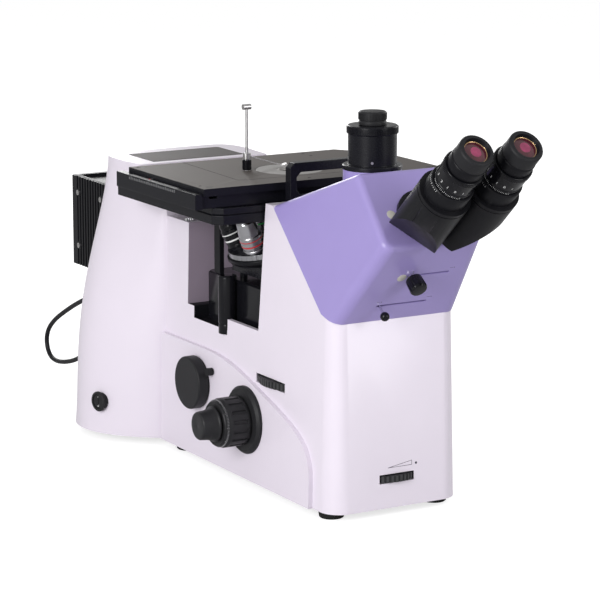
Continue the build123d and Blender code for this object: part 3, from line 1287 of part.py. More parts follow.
def make_turret():
    """Turret head: a shallow cone with five raised objective seats."""
    rise = tan(radians(TURRET_TILT))
    low = TURRET_FLOOR_T - TURRET_H
    rim = TURRET_R - TURRET_RING_W - SEAT
    inner = 14.0
    crown = (TURRET_PITCH_R - inner) * rise
    body = turned(turret_plane(), [
        (0, low), (rim, low), (rim, (TURRET_PITCH_R - rim) * rise - PAD_H), (inner, crown - PAD_H),
        (inner - 2, crown + 0.6), (0, crown + 0.6),
    ])
    for i in range(len(OBJECTIVES)):
        body += seat_plane(i, -PAD_H - 2) * extrude(Circle(PAD_R), amount=PAD_H + 2)
    body -= ring(turret_plane(), TURRET_R + PAD_R, rim, low - PAD_R, TURRET_RING_H - TURRET_H + SEAT)
    body -= turret_plane(low - PAD_R) * extrude(Circle(TURRET_R), amount=PAD_R)
    for i in range(len(OBJECTIVES)):
        body -= seat_plane(i, -TURRET_H - 4) * extrude(Circle(OBJECTIVE_THREAD_R), amount=TURRET_H + 8)
    return body - turret_plane(-TURRET_H - 1) * extrude(Circle(TURRET_PIN_R + RUN), amount=TURRET_H)


def make_turret_ring():
    """Knurled ring round the turret, with its bearing plate."""
    low = -TURRET_H
    body = fluted(turret_plane(low), TURRET_R, TURRET_RING_H, 40, 1.4, 0.4)
    body -= turret_plane(low + TURRET_FLOOR_T) * extrude(Circle(TURRET_R - TURRET_RING_W), amount=TURRET_RING_H)
    for i in range(len(OBJECTIVES)):
        body -= seat_plane(i, -TURRET_H - 6) * extrude(Circle(OBJECTIVE_THREAD_R), amount=TURRET_H + 8)
    return body - turret_plane(low - 1) * extrude(Circle(TURRET_PIN_R + RUN), amount=TURRET_H)


def make_objective(index):
    """One objective: thread, barrel, taper and a narrow front."""
    length, barrel_r, tip_r = OBJECTIVES[index]
    thread = OBJECTIVE_THREAD_R - RUN
    return turned(seat_plane(index), [
        (thread - 4, -OBJECTIVE_THREAD_L), (thread, -OBJECTIVE_THREAD_L), (thread, 0), (barrel_r, 0),
        (barrel_r, length * 0.5), (barrel_r - 1, length * 0.5 + 1), (barrel_r - 1, length * 0.62),
        (tip_r + 2.5, length - 7), (tip_r + 2, length - 3), (tip_r, length), (2, length),
        (2, length - 2), (thread - 4, length * 0.5),
    ])


# Focus block on the bay floor

def make_focus_block():
    """Block on the bay floor that guides the nosepiece carrier, with the light path through it."""
    low = BAY_FLOOR
    block = box(-BLOCK_HALF_W, BLOCK_HALF_W, BLOCK_FRONT, BLOCK_BACK, low, BLOCK_TOP)
    block = chamfer(block.edges().filter_by(Axis.Z), BLOCK_CORNER)
    block = chamfer(block.edges().group_by(Axis.Z)[-1], 1.5)
    block += rod((BOSS_X, BOSS_Y, BOSS_BOTTOM), (0, 0, 1), BOSS_R, BOSS_TOP - BOSS_BOTTOM)
    block -= rod((0, 0, low - 1), (0, 0, 1), OBJECTIVE_BORE_R, BLOCK_TOP - low + 2)
    block -= rod((0, 0, LAMP_AXIS_Z), (0, 1, 0), LAMP_TUBE_R - LAMP_TUBE_WALL, BLOCK_BACK + 1)
    block -= rack_slot(low - 1, BLOCK_TOP + 1)
    for x, y in GUIDE_PLACES:
        hole_low = GUIDE_BOTTOM - FOCUS_DOWN - SLIP
        block -= rod((x, y, hole_low), (0, 0, 1), GUIDE_R + RUN, BLOCK_TOP - hole_low + 1)
    return block


def make_beam_mirror():
    """Slanted mirror across the light bore of the focus block."""
    plane = Plane(origin=(0, 0, LAMP_AXIS_Z), x_dir=(1, 0, 0), z_dir=(0, 1, 1))
    disc = plane * Box(2 * OBJECTIVE_BORE_R, 3 * OBJECTIVE_BORE_R, 2)
    return disc & rod((0, 0, BAY_FLOOR), (0, 0, 1), OBJECTIVE_BORE_R - RUN, BLOCK_TOP - BAY_FLOOR)


# Focus drive

def make_focus_flanges():
    """A round flange on each side cover, behind the coarse knob."""
    flanges = []
    for side in (-1, 1):
        plane = Plane(origin=(0, FOCUS_Y, FOCUS_Z), z_dir=(side, 0, 0))
        low = cover_half_width(FOCUS_Z + FLANGE_R) - 2
        disc = turned(plane, [
            (COARSE_SHAFT_R + RUN, low), (FLANGE_R, low), (FLANGE_R, FLANGE_OUT - FLANGE_BEVEL),
            (FLANGE_R - FLANGE_BEVEL, FLANGE_OUT), (COARSE_SHAFT_R + RUN, FLANGE_OUT),
        ])
        flanges.append(disc - grown_block(COVER_T))
    return group(flanges)


def make_coarse_shaft():
    """Hollow shaft right across the base, with the focus pinion on it."""
    reach = FLANGE_OUT + COARSE_L - 2
    shaft = rod((-reach, FOCUS_Y, FOCUS_Z), (1, 0, 0), COARSE_SHAFT_R, 2 * reach)
    facing = Plane(origin=(PINION_X - PINION_W / 2, FOCUS_Y, FOCUS_Z), x_dir=(0, 1, 0), z_dir=(1, 0, 0))
    shaft += pinion(facing, PINION_W)
    return shaft - rod((-reach - 1, FOCUS_Y, FOCUS_Z), (1, 0, 0), FINE_SHAFT_R + RUN, 2 * reach + 2)


def make_coarse_knobs():
    """The two coarse knobs: fluted barrels with a dial ring in front."""
    knobs = []
    for side in (-1, 1):
        base = Plane(origin=(side * (FLANGE_OUT + SEAT), FOCUS_Y, FOCUS_Z), z_dir=(side, 0, 0))
        grip = fluted(base, COARSE_R, COARSE_L * 0.72, COARSE_FLUTES, 3.0, 0.8)
        dial = turned(base, [(0, COARSE_L * 0.7), (COARSE_R, COARSE_L * 0.7), (COARSE_R - 2, COARSE_L),
                             (COARSE_R - 4, COARSE_L), (COARSE_R - 5, COARSE_L - 1.5), (0, COARSE_L - 1.5)])
        knob = grip + dial
        knobs.append(knob - base.offset(-1) * extrude(Circle(COARSE_SHAFT_R + RUN), amount=COARSE_L + 2))
    return group(knobs)


def fine_reach():
    return FLANGE_OUT + COARSE_L + 2 * SEAT


def make_fine_shaft():
    """Fine shaft inside the coarse one."""
    reach = fine_reach() + FINE_L - 2
    return rod((-reach, FOCUS_Y, FOCUS_Z), (1, 0, 0), FINE_SHAFT_R, 2 * reach)


def make_fine_knobs():
    """The two fine knobs, each tapering to its tip."""
    knobs = []
    for side in (-1, 1):
        base = Plane(origin=(side * fine_reach(), FOCUS_Y, FOCUS_Z), z_dir=(side, 0, 0))
        knobs.append(turned(base, [
            (FINE_SHAFT_R + RUN, 0), (FINE_R, 0), (FINE_R, 5), (FINE_TIP_R + 1, 7), (FINE_TIP_R, FINE_L - 1),
            (FINE_TIP_R - 1, FINE_L), (FINE_SHAFT_R + RUN, FINE_L),
        ]))
    return group(knobs)


# Wheels, ports and the light path in the base

def make_dimmer_wheel():
    """Knurled wheel behind the front slot."""
    low = DIMMER_Z - DIMMER_T / 2
    wheel = fluted(Plane((0, dimmer_centre_y(), low)), DIMMER_R, DIMMER_T, 40, 1.6, 0.7)
    return wheel - rod((0, dimmer_centre_y(), low - 1), (0, 0, 1), AXLE_R + RUN, DIMMER_T + 2)


def make_aperture_wheel():
    """Large wheel behind the left slot, with four light holes."""
    low = APERTURE_Z - APERTURE_T / 2
    centre = (aperture_centre_x(), APERTURE_Y)
    wheel = fluted(Plane((*centre, low)), APERTURE_R, APERTURE_T, 60, 1.8, 0.8)
    for turn in range(45, 405, 90):
        x = centre[0] + APERTURE_R * 0.55 * cos(radians(turn))
        y = centre[1] + APERTURE_R * 0.55 * sin(radians(turn))
        wheel -= rod((x, y, low - 1), (0, 0, 1), APERTURE_R * 0.2, APERTURE_T + 2)
    return wheel - rod((*centre, low - 1), (0, 0, 1), AXLE_R + RUN, APERTURE_T + 2)


def side_plane(y, z, out=0.0):
    """A plane on the left side cover, its normal pointing left."""
    return Plane(origin=(-cover_half_width(z) - out, y, z), z_dir=(-1, 0, 0))


def make_side_port():
    """Ring and spigot of the side port."""
    plane = side_plane(SIDE_PORT_Y, SIDE_PORT_Z)
    rim = turned(plane, [
        (SIDE_LIGHT_R, -2), (SIDE_PORT_R, -2), (SIDE_PORT_R, SIDE_RING_T - 0.8),
        (SIDE_PORT_R - 0.8, SIDE_RING_T), (SIDE_LIGHT_R, SIDE_RING_T),
    ])
    spigot = ring(plane, SIDE_BORE_R - RUN, SIDE_LIGHT_R, -COVER_T - BODY_WALL, SIDE_RING_T / 2)
    return rim - grown_block(COVER_T) + spigot


def make_side_cap():
    """Cap that closes the side port."""
    plane = side_plane(SIDE_PORT_Y, SIDE_PORT_Z, SIDE_RING_T)
    spigot = SIDE_LIGHT_R - SEAT
    return turned(plane, [
        (0, -SIDE_SPIGOT_L), (spigot, -SIDE_SPIGOT_L), (spigot, SEAT), (SIDE_CAP_R, SEAT),
        (SIDE_CAP_R, SIDE_CAP_T - 1.2), (SIDE_CAP_R - 1.2, SIDE_CAP_T), (0, SIDE_CAP_T),
    ])


def make_clamp_screw():
    """Small knurled thumb screw beside the side port."""
    plane = side_plane(CLAMP_Y, CLAMP_Z, 1.0)
    body = fluted(plane, CLAMP_R, CLAMP_L, 12, 0.9, 0.4)
    return body + plane.offset(-10) * extrude(Circle(CLAMP_SHANK_R), amount=11)


def wedge(y, facing):
    """A 45 degree mirror wedge; facing -1 sends light towards -Y, +1 takes it from +Y and sends it up."""
    low = BEAM_Z - MIRROR_SIZE
    return [(y + facing * MIRROR_SIZE, low), (y - facing * MIRROR_SIZE, BEAM_Z + MIRROR_SIZE),
            (y - facing * MIRROR_SIZE, low)]


def make_fold_mirrors():
    """Two mirror wedges, one on a pedestal under the objective, one on a bridge over the dimmer wheel."""
    floor = FOOT_H + BASE_PLATE_T
    low = BEAM_Z - MIRROR_SIZE
    first = side_slab(wedge(0, -1), MIRROR_SIZE)
    first += box(-12, 12, 4 - MIRROR_SIZE, MIRROR_SIZE, floor, low + 0.5)
    second = side_slab(wedge(PORT_Y, 1), MIRROR_SIZE)
    deck = (PORT_Y - 16, PORT_Y + 16)
    second += box(-BRIDGE_HALF_W, BRIDGE_HALF_W, *deck, BRIDGE_DECK_Z, BRIDGE_DECK_Z + 6)
    second += box(-MIRROR_SIZE, MIRROR_SIZE, *deck, BRIDGE_DECK_Z, low + 0.5)
    for side in (-1, 1):
        outer = side * BRIDGE_HALF_W
        inner = side * (BRIDGE_HALF_W - BRIDGE_LEG)
        second += box(min(outer, inner), max(outer, inner), PORT_Y, PORT_Y + 16, floor, BRIDGE_DECK_Z + 1)
    return [first, second]


def make_relay_lens():
    """Relay lens tube on a saddle between the two mirrors."""
    length = RELAY_BACK - RELAY_FRONT
    body = rod((0, RELAY_FRONT, BEAM_Z), (0, 1, 0), RELAY_R, length)
    body += box(-10, 10, RELAY_FRONT + 8, RELAY_BACK - 8, FOOT_H + BASE_PLATE_T, BEAM_Z - RELAY_BORE_R - 1)
    return body - rod((0, RELAY_FRONT - 1, BEAM_Z), (0, 1, 0), RELAY_BORE_R, length + 2)


# Lamp house and its lead

def make_illuminator_tube():
    """Tube from the bay through the column to the lamp house, with a flange between them."""
    bore = LAMP_TUBE_R - LAMP_TUBE_WALL
    front = BAY_STEP_Y + LAMP_SPIGOT
    back = LAMP_FRONT + LAMP_WALL + LAMP_SPIGOT
    return turned(Plane(origin=(0, 0, LAMP_AXIS_Z), z_dir=(0, 1, 0)), [
        (bore, front), (LAMP_TUBE_R, front), (LAMP_TUBE_R, COLUMN_BACK), (LAMP_FLANGE_R, COLUMN_BACK),
        (LAMP_FLANGE_R, LAMP_FRONT), (LAMP_TUBE_R, LAMP_FRONT), (LAMP_TUBE_R, back), (bore, back),
    ])


def lamp_screw_planes():
    """Screws on both sides of the lamp house."""
    return [Plane(origin=(side * LAMP_HALF_W, y, z), z_dir=(side, 0, 0))
            for side in (-1, 1)
            for y in (LAMP_FRONT + LAMP_SCREW_FRONT_IN, LAMP_BACK - LAMP_SCREW_BACK_IN)
            for z in (LAMP_BOTTOM + LAMP_SCREW_UP, LAMP_TOP - LAMP_SCREW_DOWN)]


def make_lamp_house():
    """Hollow lamp house with cooling fins down both sides and a tray in its top."""
    shell = box(-LAMP_HALF_W, LAMP_HALF_W, LAMP_FRONT, LAMP_BACK, LAMP_BOTTOM, LAMP_TOP)
    shell = chamfer(shell.edges().filter_by(Axis.Z), LAMP_EDGE)
    w = LAMP_WALL
    shell -= box(w - LAMP_HALF_W, LAMP_HALF_W - w, LAMP_FRONT + w, LAMP_BACK - w, LAMP_BOTTOM + w, LAMP_TOP - w)
    shell -= box(TRAY_MARGIN - LAMP_HALF_W, LAMP_HALF_W - TRAY_MARGIN, LAMP_FRONT + TRAY_MARGIN,
                 LAMP_BACK - TRAY_MARGIN, LAMP_TOP - TRAY_DEPTH, LAMP_TOP + 1)
    shell -= rod((0, LAMP_FRONT - 1, LAMP_AXIS_Z), (0, 1, 0), LAMP_TUBE_R + RUN, w + 2)
    fins = int((LAMP_BACK - LAMP_FRONT) / FIN_PITCH) - 3
    for side in (-1, 1):
        outer = side * (LAMP_HALF_W + 1)
        inner = side * (LAMP_HALF_W - FIN_DEPTH)
        for i in range(fins):
            y = LAMP_FRONT + (i + 2) * FIN_PITCH
            shell -= box(min(outer, inner), max(outer, inner), y, y + FIN_GAP, LAMP_BOTTOM - 1, LAMP_TOP + 1)
    for plane in lamp_screw_planes():
        shell += plane.offset(-FIN_DEPTH - 0.5) * extrude(Circle(SCREW_HEAD_R + 1.6), amount=FIN_DEPTH + 0.5)
        shell -= screw_hole(plane)
    return shell


def make_lamp():
    """Halogen lamp on its socket, standing on the lamp house floor."""
    y = (LAMP_FRONT + LAMP_BACK) / 2 + 10
    neck = LAMP_AXIS_Z - BULB_R - 2
    socket = box(-12, 12, y - 12, y + 12, LAMP_BOTTOM + LAMP_WALL, neck)
    bulb = turned(Plane((0, y, 0)), [
        (0, neck - 0.5), (5, neck - 0.5), (BULB_R, LAMP_AXIS_Z - BULB_R / 2),
        (BULB_R, LAMP_AXIS_Z + BULB_R), (0, LAMP_AXIS_Z + 2 * BULB_R),
    ])
    return socket + bulb


def make_cable_glands():
    """Tapered strain reliefs at both ends of the lamp lead."""
    return group([turned(plane, [
        (0, 0), (RELIEF_FLANGE_R, 0), (RELIEF_FLANGE_R, 3), (RELIEF_R + 0.6, 3.5),
        (LEAD_R + 0.5, RELIEF_L), (0, RELIEF_L),
    ]) for plane in gland_planes()])


def lead_points():
    return [Vector(LEAD_X, y, z) for y, z in LEAD_ROUTE]


def lead_radii():
    """Bend radii of the lead, each as large as its two runs allow."""
    points = lead_points()
    radii = []
    for a, b, c in zip(points, points[1:], points[2:]):
        turn = radians((b - a).get_angle(c - b))
        radii.append(0.45 * min((b - a).length, (c - b).length) / tan(turn / 2))
    return radii


def make_lamp_lead():
    """The lamp's lead, a round cable in one open loop behind the column."""
    points = lead_points()
    radii = lead_radii()
    path = FilletPolyline(*points, radius=radii)
    section = Plane(origin=points[0], z_dir=points[1] - points[0]) * Circle(LEAD_R)
    lead = sweep(section, path=path)
    print("lead: length", round(path.length, 1), "radii", [round(r, 1) for r in radii])
    print("lead: volume", round(lead.volume), "section by length", round(pi * LEAD_R ** 2 * path.length))
    return lead


def make_parts():
    """Every node, in the shared frame."""
    parts = {
        "main_casting": make_casting(),
        "rear_column": make_column(),
        "column_top_plate": make_column_top_plate(),
        "base_plate": make_base_plate(),
        "rubber_feet": make_feet(),
        "side_covers": make_side_covers(),
        "rear_panel": make_rear_panel(),
        "power_inlet": make_inlet(),
        "panel_screws": group([screw(plane) for plane in panel_screw_planes()]),
        "power_supply": make_power_supply(),
        "switch_bezel": make_switch_bezel(),
        "power_rocker": make_power_rocker(),
        "head_cover": make_head_cover(),
        "carry_handle": make_handle(),
        "camera_tube": make_camera_tube(),
        "camera_collar": make_port_collar(),
        "camera_cap": make_camera_cap(),
        "head_prism": make_prism_block(),
        "beam_lever": make_beam_lever(),
        "ball_lever": make_ball_lever(),
        "binocular_pivot": group([make_pivot_flange(), make_pivot_cap()]),
        "stage_base": make_stage_base(),
        "stage_carriage": make_stage_carriage(),
        "stage_top": make_stage_top(),
        "stage_screws": make_top_screws(),
        "stage_insert": make_stage_insert(),
        "stage_y_knob": make_y_knob(),
        "stage_x_knob": make_x_knob(),
        "clip_post": make_clip_post(),
        "clip_arm": make_clip_arm(),
        "focus_block": make_focus_block(),
        "nosepiece_carrier": make_nosepiece_carrier(),
        "nosepiece_turret": make_turret(),
        "turret_ring": make_turret_ring(),
        "focus_flanges": make_focus_flanges(),
        "coarse_shaft": make_coarse_shaft(),
        "coarse_knobs": make_coarse_knobs(),
        "fine_shaft": make_fine_shaft(),
        "fine_knobs": make_fine_knobs(),
        "dimmer_wheel": make_dimmer_wheel(),
        "aperture_wheel": make_aperture_wheel(),
        "side_port": make_side_port(),
        "side_port_cap": make_side_cap(),
        "clamp_screw": make_clamp_screw(),
        "fold_mirrors": group([*make_fold_mirrors(), make_beam_mirror()]),
        "relay_lens": make_relay_lens(),
        "illuminator_tube": make_illuminator_tube(),
        "lamp_house": make_lamp_house(),
        "lamp_screws": group([screw(plane) for plane in lamp_screw_planes()]),
        "lamp": make_lamp(),
        "cable_glands": make_cable_glands(),
        "lamp_lead": make_lamp_lead(),
    }
    for side, word in ((-1, "left"), (1, "right")):
        parts[f"{word}_prism_housing"] = make_prism_housing(side)
        parts[f"{word}_diopter_ring"] = make_diopter_ring(side)
        parts[f"{word}_eyepiece"] = group([make_eyepiece(side), make_eye_lens(side)])
    parts["objectives"] = group([make_objective(i) for i in range(len(OBJECTIVES))])
    return parts


def middle(parts, axis):
    """Middle of the whole object's box along X or Y, without the lead."""
    boxes = [shape.bounding_box() for name, shape in parts.items() if name != "lamp_lead"]
    return (min(getattr(b.min, axis) for b in boxes) + max(getattr(b.max, axis) for b in boxes)) / 2


parts = make_parts()
move = Pos(-middle(parts, "X"), -middle(parts, "Y"), 0)
print("nodes", len(parts), "moved by", move.position)
for name, shape in parts.items():
    export_step(move * shape, f"parts/{name}.step")
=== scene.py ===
import bmesh
import bpy
import json
from math import cos, pi, radians, sin, tan
from mathutils import Matrix, Vector


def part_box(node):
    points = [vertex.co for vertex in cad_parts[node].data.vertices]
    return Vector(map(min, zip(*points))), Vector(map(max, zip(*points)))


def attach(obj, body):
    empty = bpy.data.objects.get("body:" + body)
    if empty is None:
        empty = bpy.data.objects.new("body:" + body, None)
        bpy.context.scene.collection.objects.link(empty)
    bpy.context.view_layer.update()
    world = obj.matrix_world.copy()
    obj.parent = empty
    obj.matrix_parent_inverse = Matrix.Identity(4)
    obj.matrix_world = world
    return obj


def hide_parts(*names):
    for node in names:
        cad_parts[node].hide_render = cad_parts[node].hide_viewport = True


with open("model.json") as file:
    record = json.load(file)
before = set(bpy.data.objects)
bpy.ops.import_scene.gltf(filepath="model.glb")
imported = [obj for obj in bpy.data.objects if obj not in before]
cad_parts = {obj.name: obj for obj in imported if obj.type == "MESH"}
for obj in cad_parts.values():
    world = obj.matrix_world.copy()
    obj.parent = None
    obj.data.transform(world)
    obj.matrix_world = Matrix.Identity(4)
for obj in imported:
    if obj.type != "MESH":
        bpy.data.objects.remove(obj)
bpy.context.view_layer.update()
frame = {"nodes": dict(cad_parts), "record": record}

# Lengths are millimetres from the optical axis, which goes through the stage insert's hole.
MM = 0.001
UP = (0.0, 0.0, 1.0)
insert_low, insert_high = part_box("stage_insert")
AXIS = (Vector(insert_low) + Vector(insert_high)) / 2
AXIS.z = 0.0


def at(x, y, z):
    """A point of the object, from millimetres about the optical axis."""
    return AXIS + Vector((x, y, z)) * MM


def placed(origin, up, side=(1.0, 0.0, 0.0)):
    """The matrix of a piece's own axes: its origin, its Z along up, and its X as near to side as it goes."""
    z = Vector(up).normalized()
    x = Vector(side) - z * Vector(side).dot(z)
    x.normalize()
    y = z.cross(x)
    turn = Matrix((x, y, z)).transposed().to_4x4()
    return Matrix.Translation(origin) @ turn


def upright(x, y, z):
    """A place with its Z straight up."""
    return placed(at(x, y, z), UP)


def raised(place, height):
    """The same place, moved along its own Z."""
    return place @ Matrix.Translation((0.0, 0.0, height * MM))


# Camera, floor and light. Each light has its place and size in metres, and its power in watts
CAMERA_AT = at(-1420.9, -2484.0, 777.5)
CAMERA_TO = at(-19.6, -56.9, 197.1)
CAMERA_LENS = 162.0
SKY_STRENGTH = 0.46
LIGHTS_TO = (0.0, 0.0, 0.2)
LIGHTS = {
    "key_light": ((-2.6, -1.3, 1.1), (1.4, 1.4), 68.0),
    "fill_light": ((1.2, -2.6, 1.0), (1.0, 1.4), 22.0),
    "right_light": ((2.6, 0.6, 1.0), (1.0, 1.4), 22.0),
    "rim_light": ((0.6, 2.6, 1.2), (1.0, 1.4), 20.0),
}
FLOOR_HALF = 30.0
FLOOR_CORNERS = [(-FLOOR_HALF, -FLOOR_HALF, 0.0), (FLOOR_HALF, -FLOOR_HALF, 0.0),
                 (FLOOR_HALF, FLOOR_HALF, 0.0), (-FLOOR_HALF, FLOOR_HALF, 0.0)]
PAPER_GLOW = 0.72


def make_camera():
    camera = bpy.data.objects.new("camera", bpy.data.cameras.new("camera"))
    camera.data.lens = CAMERA_LENS
    camera.data.sensor_width = 36.0
    camera.data.clip_end = 100.0
    camera.location = CAMERA_AT
    camera.rotation_mode = "QUATERNION"
    camera.rotation_quaternion = (CAMERA_TO - CAMERA_AT).to_track_quat("-Z", "Y")
    bpy.context.scene.collection.objects.link(camera)
    bpy.context.scene.camera = camera


def soft_light(name, place, size, power):
    light = bpy.data.lights.new(name, "AREA")
    light.shape = "RECTANGLE"
    light.size, light.size_y = size
    light.energy = power
    lamp = bpy.data.objects.new(name, light)
    lamp.location = place
    lamp.rotation_mode = "QUATERNION"
    lamp.rotation_quaternion = (Vector(LIGHTS_TO) - Vector(place)).to_track_quat("-Z", "Y")
    bpy.context.scene.collection.objects.link(lamp)


def make_studio():
    world = bpy.data.worlds.new("studio")
    world.use_nodes = True
    sky = world.node_tree.nodes["Background"]
    sky.inputs["Color"].default_value = (1.0, 1.0, 1.0, 1.0)
    sky.inputs["Strength"].default_value = SKY_STRENGTH
    bpy.context.scene.world = world
    bpy.context.scene.view_settings.view_transform = "Standard"
    for name, (place, size, power) in LIGHTS.items():
        soft_light(name, place, size, power)
    floor_mesh = bpy.data.meshes.new("floor")
    floor_mesh.from_pydata(FLOOR_CORNERS, [], [(0, 1, 2, 3)])
    floor_mesh.materials.append(lit_paper())
    floor = bpy.data.objects.new("floor", floor_mesh)
    bpy.context.scene.collection.objects.link(floor)


# Materials. The relief's depth is in metres
COAT_ROUGH = 0.15
ROUGH_PLAY = 0.05
LEAST_ROUGH = 0.02
RELIEF_DEPTH = 0.0002


def surface(name, colour, rough=0.5, metallic=0.0, coat=0.0, mottle=0.05, mottle_size=30.0, grain=900.0,
            bump=0.08, stretch=(1.0, 1.0, 1.0), specular=0.5):
    """A finish that varies a little over the piece: soft mottling in its colour, and fine grain in its
    roughness and relief. Stretch turns the grain into brushing."""
    material = bpy.data.materials.new(name)
    material.use_nodes = True
    nodes = material.node_tree.nodes
    link = material.node_tree.links.new
    shader = nodes["Principled BSDF"]
    shader.inputs["Metallic"].default_value = metallic
    shader.inputs["Coat Weight"].default_value = coat
    shader.inputs["Coat Roughness"].default_value = COAT_ROUGH
    shader.inputs["Specular IOR Level"].default_value = specular
    where = nodes.new("ShaderNodeTexCoord")
    mapping = nodes.new("ShaderNodeMapping")
    mapping.inputs["Scale"].default_value = stretch
    link(where.outputs["Object"], mapping.inputs["Vector"])
    clouds = nodes.new("ShaderNodeTexNoise")
    clouds.inputs["Scale"].default_value = mottle_size
    clouds.inputs["Detail"].default_value = 4.0
    link(mapping.outputs["Vector"], clouds.inputs["Vector"])
    tint = nodes.new("ShaderNodeMix")
    tint.data_type = "RGBA"
    darker = [value * (1.0 - mottle) for value in colour]
    lighter = [min(1.0, value * (1.0 + mottle)) for value in colour]
    tint.inputs["A"].default_value = (*darker, 1.0)
    tint.inputs["B"].default_value = (*lighter, 1.0)
    link(clouds.outputs["Fac"], tint.inputs["Factor"])
    link(tint.outputs["Result"], shader.inputs["Base Color"])
    fine = nodes.new("ShaderNodeTexNoise")
    fine.inputs["Scale"].default_value = grain
    fine.inputs["Detail"].default_value = 2.0
    link(mapping.outputs["Vector"], fine.inputs["Vector"])
    play = nodes.new("ShaderNodeMapRange")
    play.inputs["To Min"].default_value = max(LEAST_ROUGH, rough - ROUGH_PLAY)
    play.inputs["To Max"].default_value = rough + ROUGH_PLAY
    link(fine.outputs["Fac"], play.inputs["Value"])
    link(play.outputs["Result"], shader.inputs["Roughness"])
    relief = nodes.new("ShaderNodeBump")
    relief.inputs["Strength"].default_value = bump
    relief.inputs["Distance"].default_value = RELIEF_DEPTH
    link(fine.outputs["Fac"], relief.inputs["Height"])
    link(relief.outputs["Normal"], shader.inputs["Normal"])
    return material


def lit_paper():
    """The white paper under the object. It glows only for the camera, and sheds no light on it."""
    paper = surface("floor_paper", (0.55, 0.55, 0.55), 0.8, mottle=0.01, mottle_size=2.0)
    nodes = paper.node_tree.nodes
    shader = nodes["Principled BSDF"]
    shader.inputs["Emission Color"].default_value = (1.0, 1.0, 1.0, 1.0)
    path = nodes.new("ShaderNodeLightPath")
    glow = nodes.new("ShaderNodeMath")
    glow.operation = "MULTIPLY"
    glow.inputs[1].default_value = PAPER_GLOW
    paper.node_tree.links.new(path.outputs["Is Camera Ray"], glow.inputs[0])
    paper.node_tree.links.new(glow.outputs[0], shader.inputs["Emission Strength"])
    return paper


FINISHES = {
    "body_enamel": dict(colour=(0.76, 0.70, 0.79), rough=0.34, coat=0.25, mottle=0.015, bump=0.05),
    "violet_enamel": dict(colour=(0.33, 0.27, 0.58), rough=0.36, coat=0.2, mottle=0.03, bump=0.06),
    "cover_enamel": dict(colour=(0.75, 0.69, 0.78), rough=0.38, coat=0.15, mottle=0.015, bump=0.05),
    "black_satin": dict(colour=(0.007, 0.007, 0.009), rough=0.36, mottle=0.2, specular=0.14),
    "black_anodised": dict(colour=(0.007, 0.007, 0.010), rough=0.27, mottle=0.15, specular=0.2),
    "stage_brown": dict(colour=(0.1, 0.088, 0.08), mottle=0.06, grain=1500.0, specular=0.12),
    "stage_edge": dict(colour=(0.007, 0.007, 0.010), rough=0.27, mottle=0.15, specular=0.15,
                       stretch=(1.0, 1.0, 12.0)),
    "plate_brown": dict(colour=(0.06, 0.052, 0.05), mottle=0.08, grain=1500.0, bump=0.2, specular=0.12),
    "gloss_black": dict(colour=(0.006, 0.006, 0.008), rough=0.14, mottle=0.2, bump=0.02, specular=0.22),
    "polished_chrome": dict(colour=(0.82, 0.82, 0.84), rough=0.08, metallic=1.0, mottle=0.02, bump=0.02),
    "satin_steel": dict(colour=(0.58, 0.57, 0.57), rough=0.32, metallic=1.0, stretch=(1.0, 1.0, 20.0)),
    "matt_plastic": dict(colour=(0.018, 0.018, 0.02), mottle=0.15, bump=0.2, specular=0.2),
    "foot_rubber": dict(colour=(0.012, 0.012, 0.012), rough=0.75, mottle=0.2, bump=0.3, specular=0.2),
    "objective_alloy": dict(colour=(0.5, 0.5, 0.52), rough=0.25, metallic=1.0),
    "lens_coating": dict(colour=(0.09, 0.015, 0.025), rough=0.05, coat=1.0, mottle=0.8, mottle_size=90.0,
                         bump=0.0),
    "mirror_silver": dict(colour=(0.88, 0.88, 0.9), rough=0.03, metallic=1.0, mottle=0.01, bump=0.0),
    "cable_rubber": dict(colour=(0.01, 0.01, 0.012), rough=0.45, mottle=0.15, bump=0.15, specular=0.2),
    "engraved_white": dict(colour=(0.8, 0.8, 0.8), mottle=0.03),
    "rim_rubber": dict(colour=(0.016, 0.016, 0.018), mottle=0.1, bump=0.15, specular=0.2),
    "gold_ring": dict(colour=(0.75, 0.5, 0.25), rough=0.25, metallic=1.0, mottle=0.03),
    "knob_black": dict(colour=(0.02, 0.02, 0.022), rough=0.38, mottle=0.12, bump=0.12, specular=0.2),
    "engraved_grey": dict(colour=(0.35, 0.35, 0.36)),
    "sticker_paper": dict(colour=(0.55, 0.53, 0.48), rough=0.6),
    "ink": dict(colour=(0.03, 0.025, 0.05), mottle=0.1),
    # The brighter pink centre of the eyepiece lenses is a painted highlight.
    "lens_glow": dict(colour=(0.3, 0.03, 0.1), rough=0.08, coat=1.0, mottle=0.6, mottle_size=120.0, bump=0.0),
    "tooth_black": dict(colour=(0.035, 0.035, 0.038), rough=0.35, mottle=0.15),
    "insert_grey": dict(colour=(0.28, 0.27, 0.26), rough=0.45, metallic=0.5),
    # Painted shade: a darker copy of the body enamel for the bay's rear wall.
    "bay_wall_painted_shade": dict(colour=(0.33, 0.27, 0.34), rough=0.4),
    "ring_steel": dict(colour=(0.4, 0.4, 0.42), rough=0.25, metallic=1.0, mottle=0.1),
    "housing_black": dict(colour=(0.008, 0.008, 0.010), rough=0.36, mottle=0.15, specular=0.16),
    "band_blue": dict(colour=(0.03, 0.12, 0.5), rough=0.35),
    "band_green": dict(colour=(0.05, 0.4, 0.1), rough=0.35),
    # Black for the stage's inset seam, and painted shade where the stage's small holes are drawn as flat
    # discs.
    "hole_black": dict(colour=(0.004, 0.004, 0.005), rough=0.7, mottle=0.1, specular=0.1),
    "signal_red": dict(colour=(0.55, 0.03, 0.04), rough=0.35),
}

make_camera()
make_studio()
finish_of = {name: surface(name, **look) for name, look in FINISHES.items()}

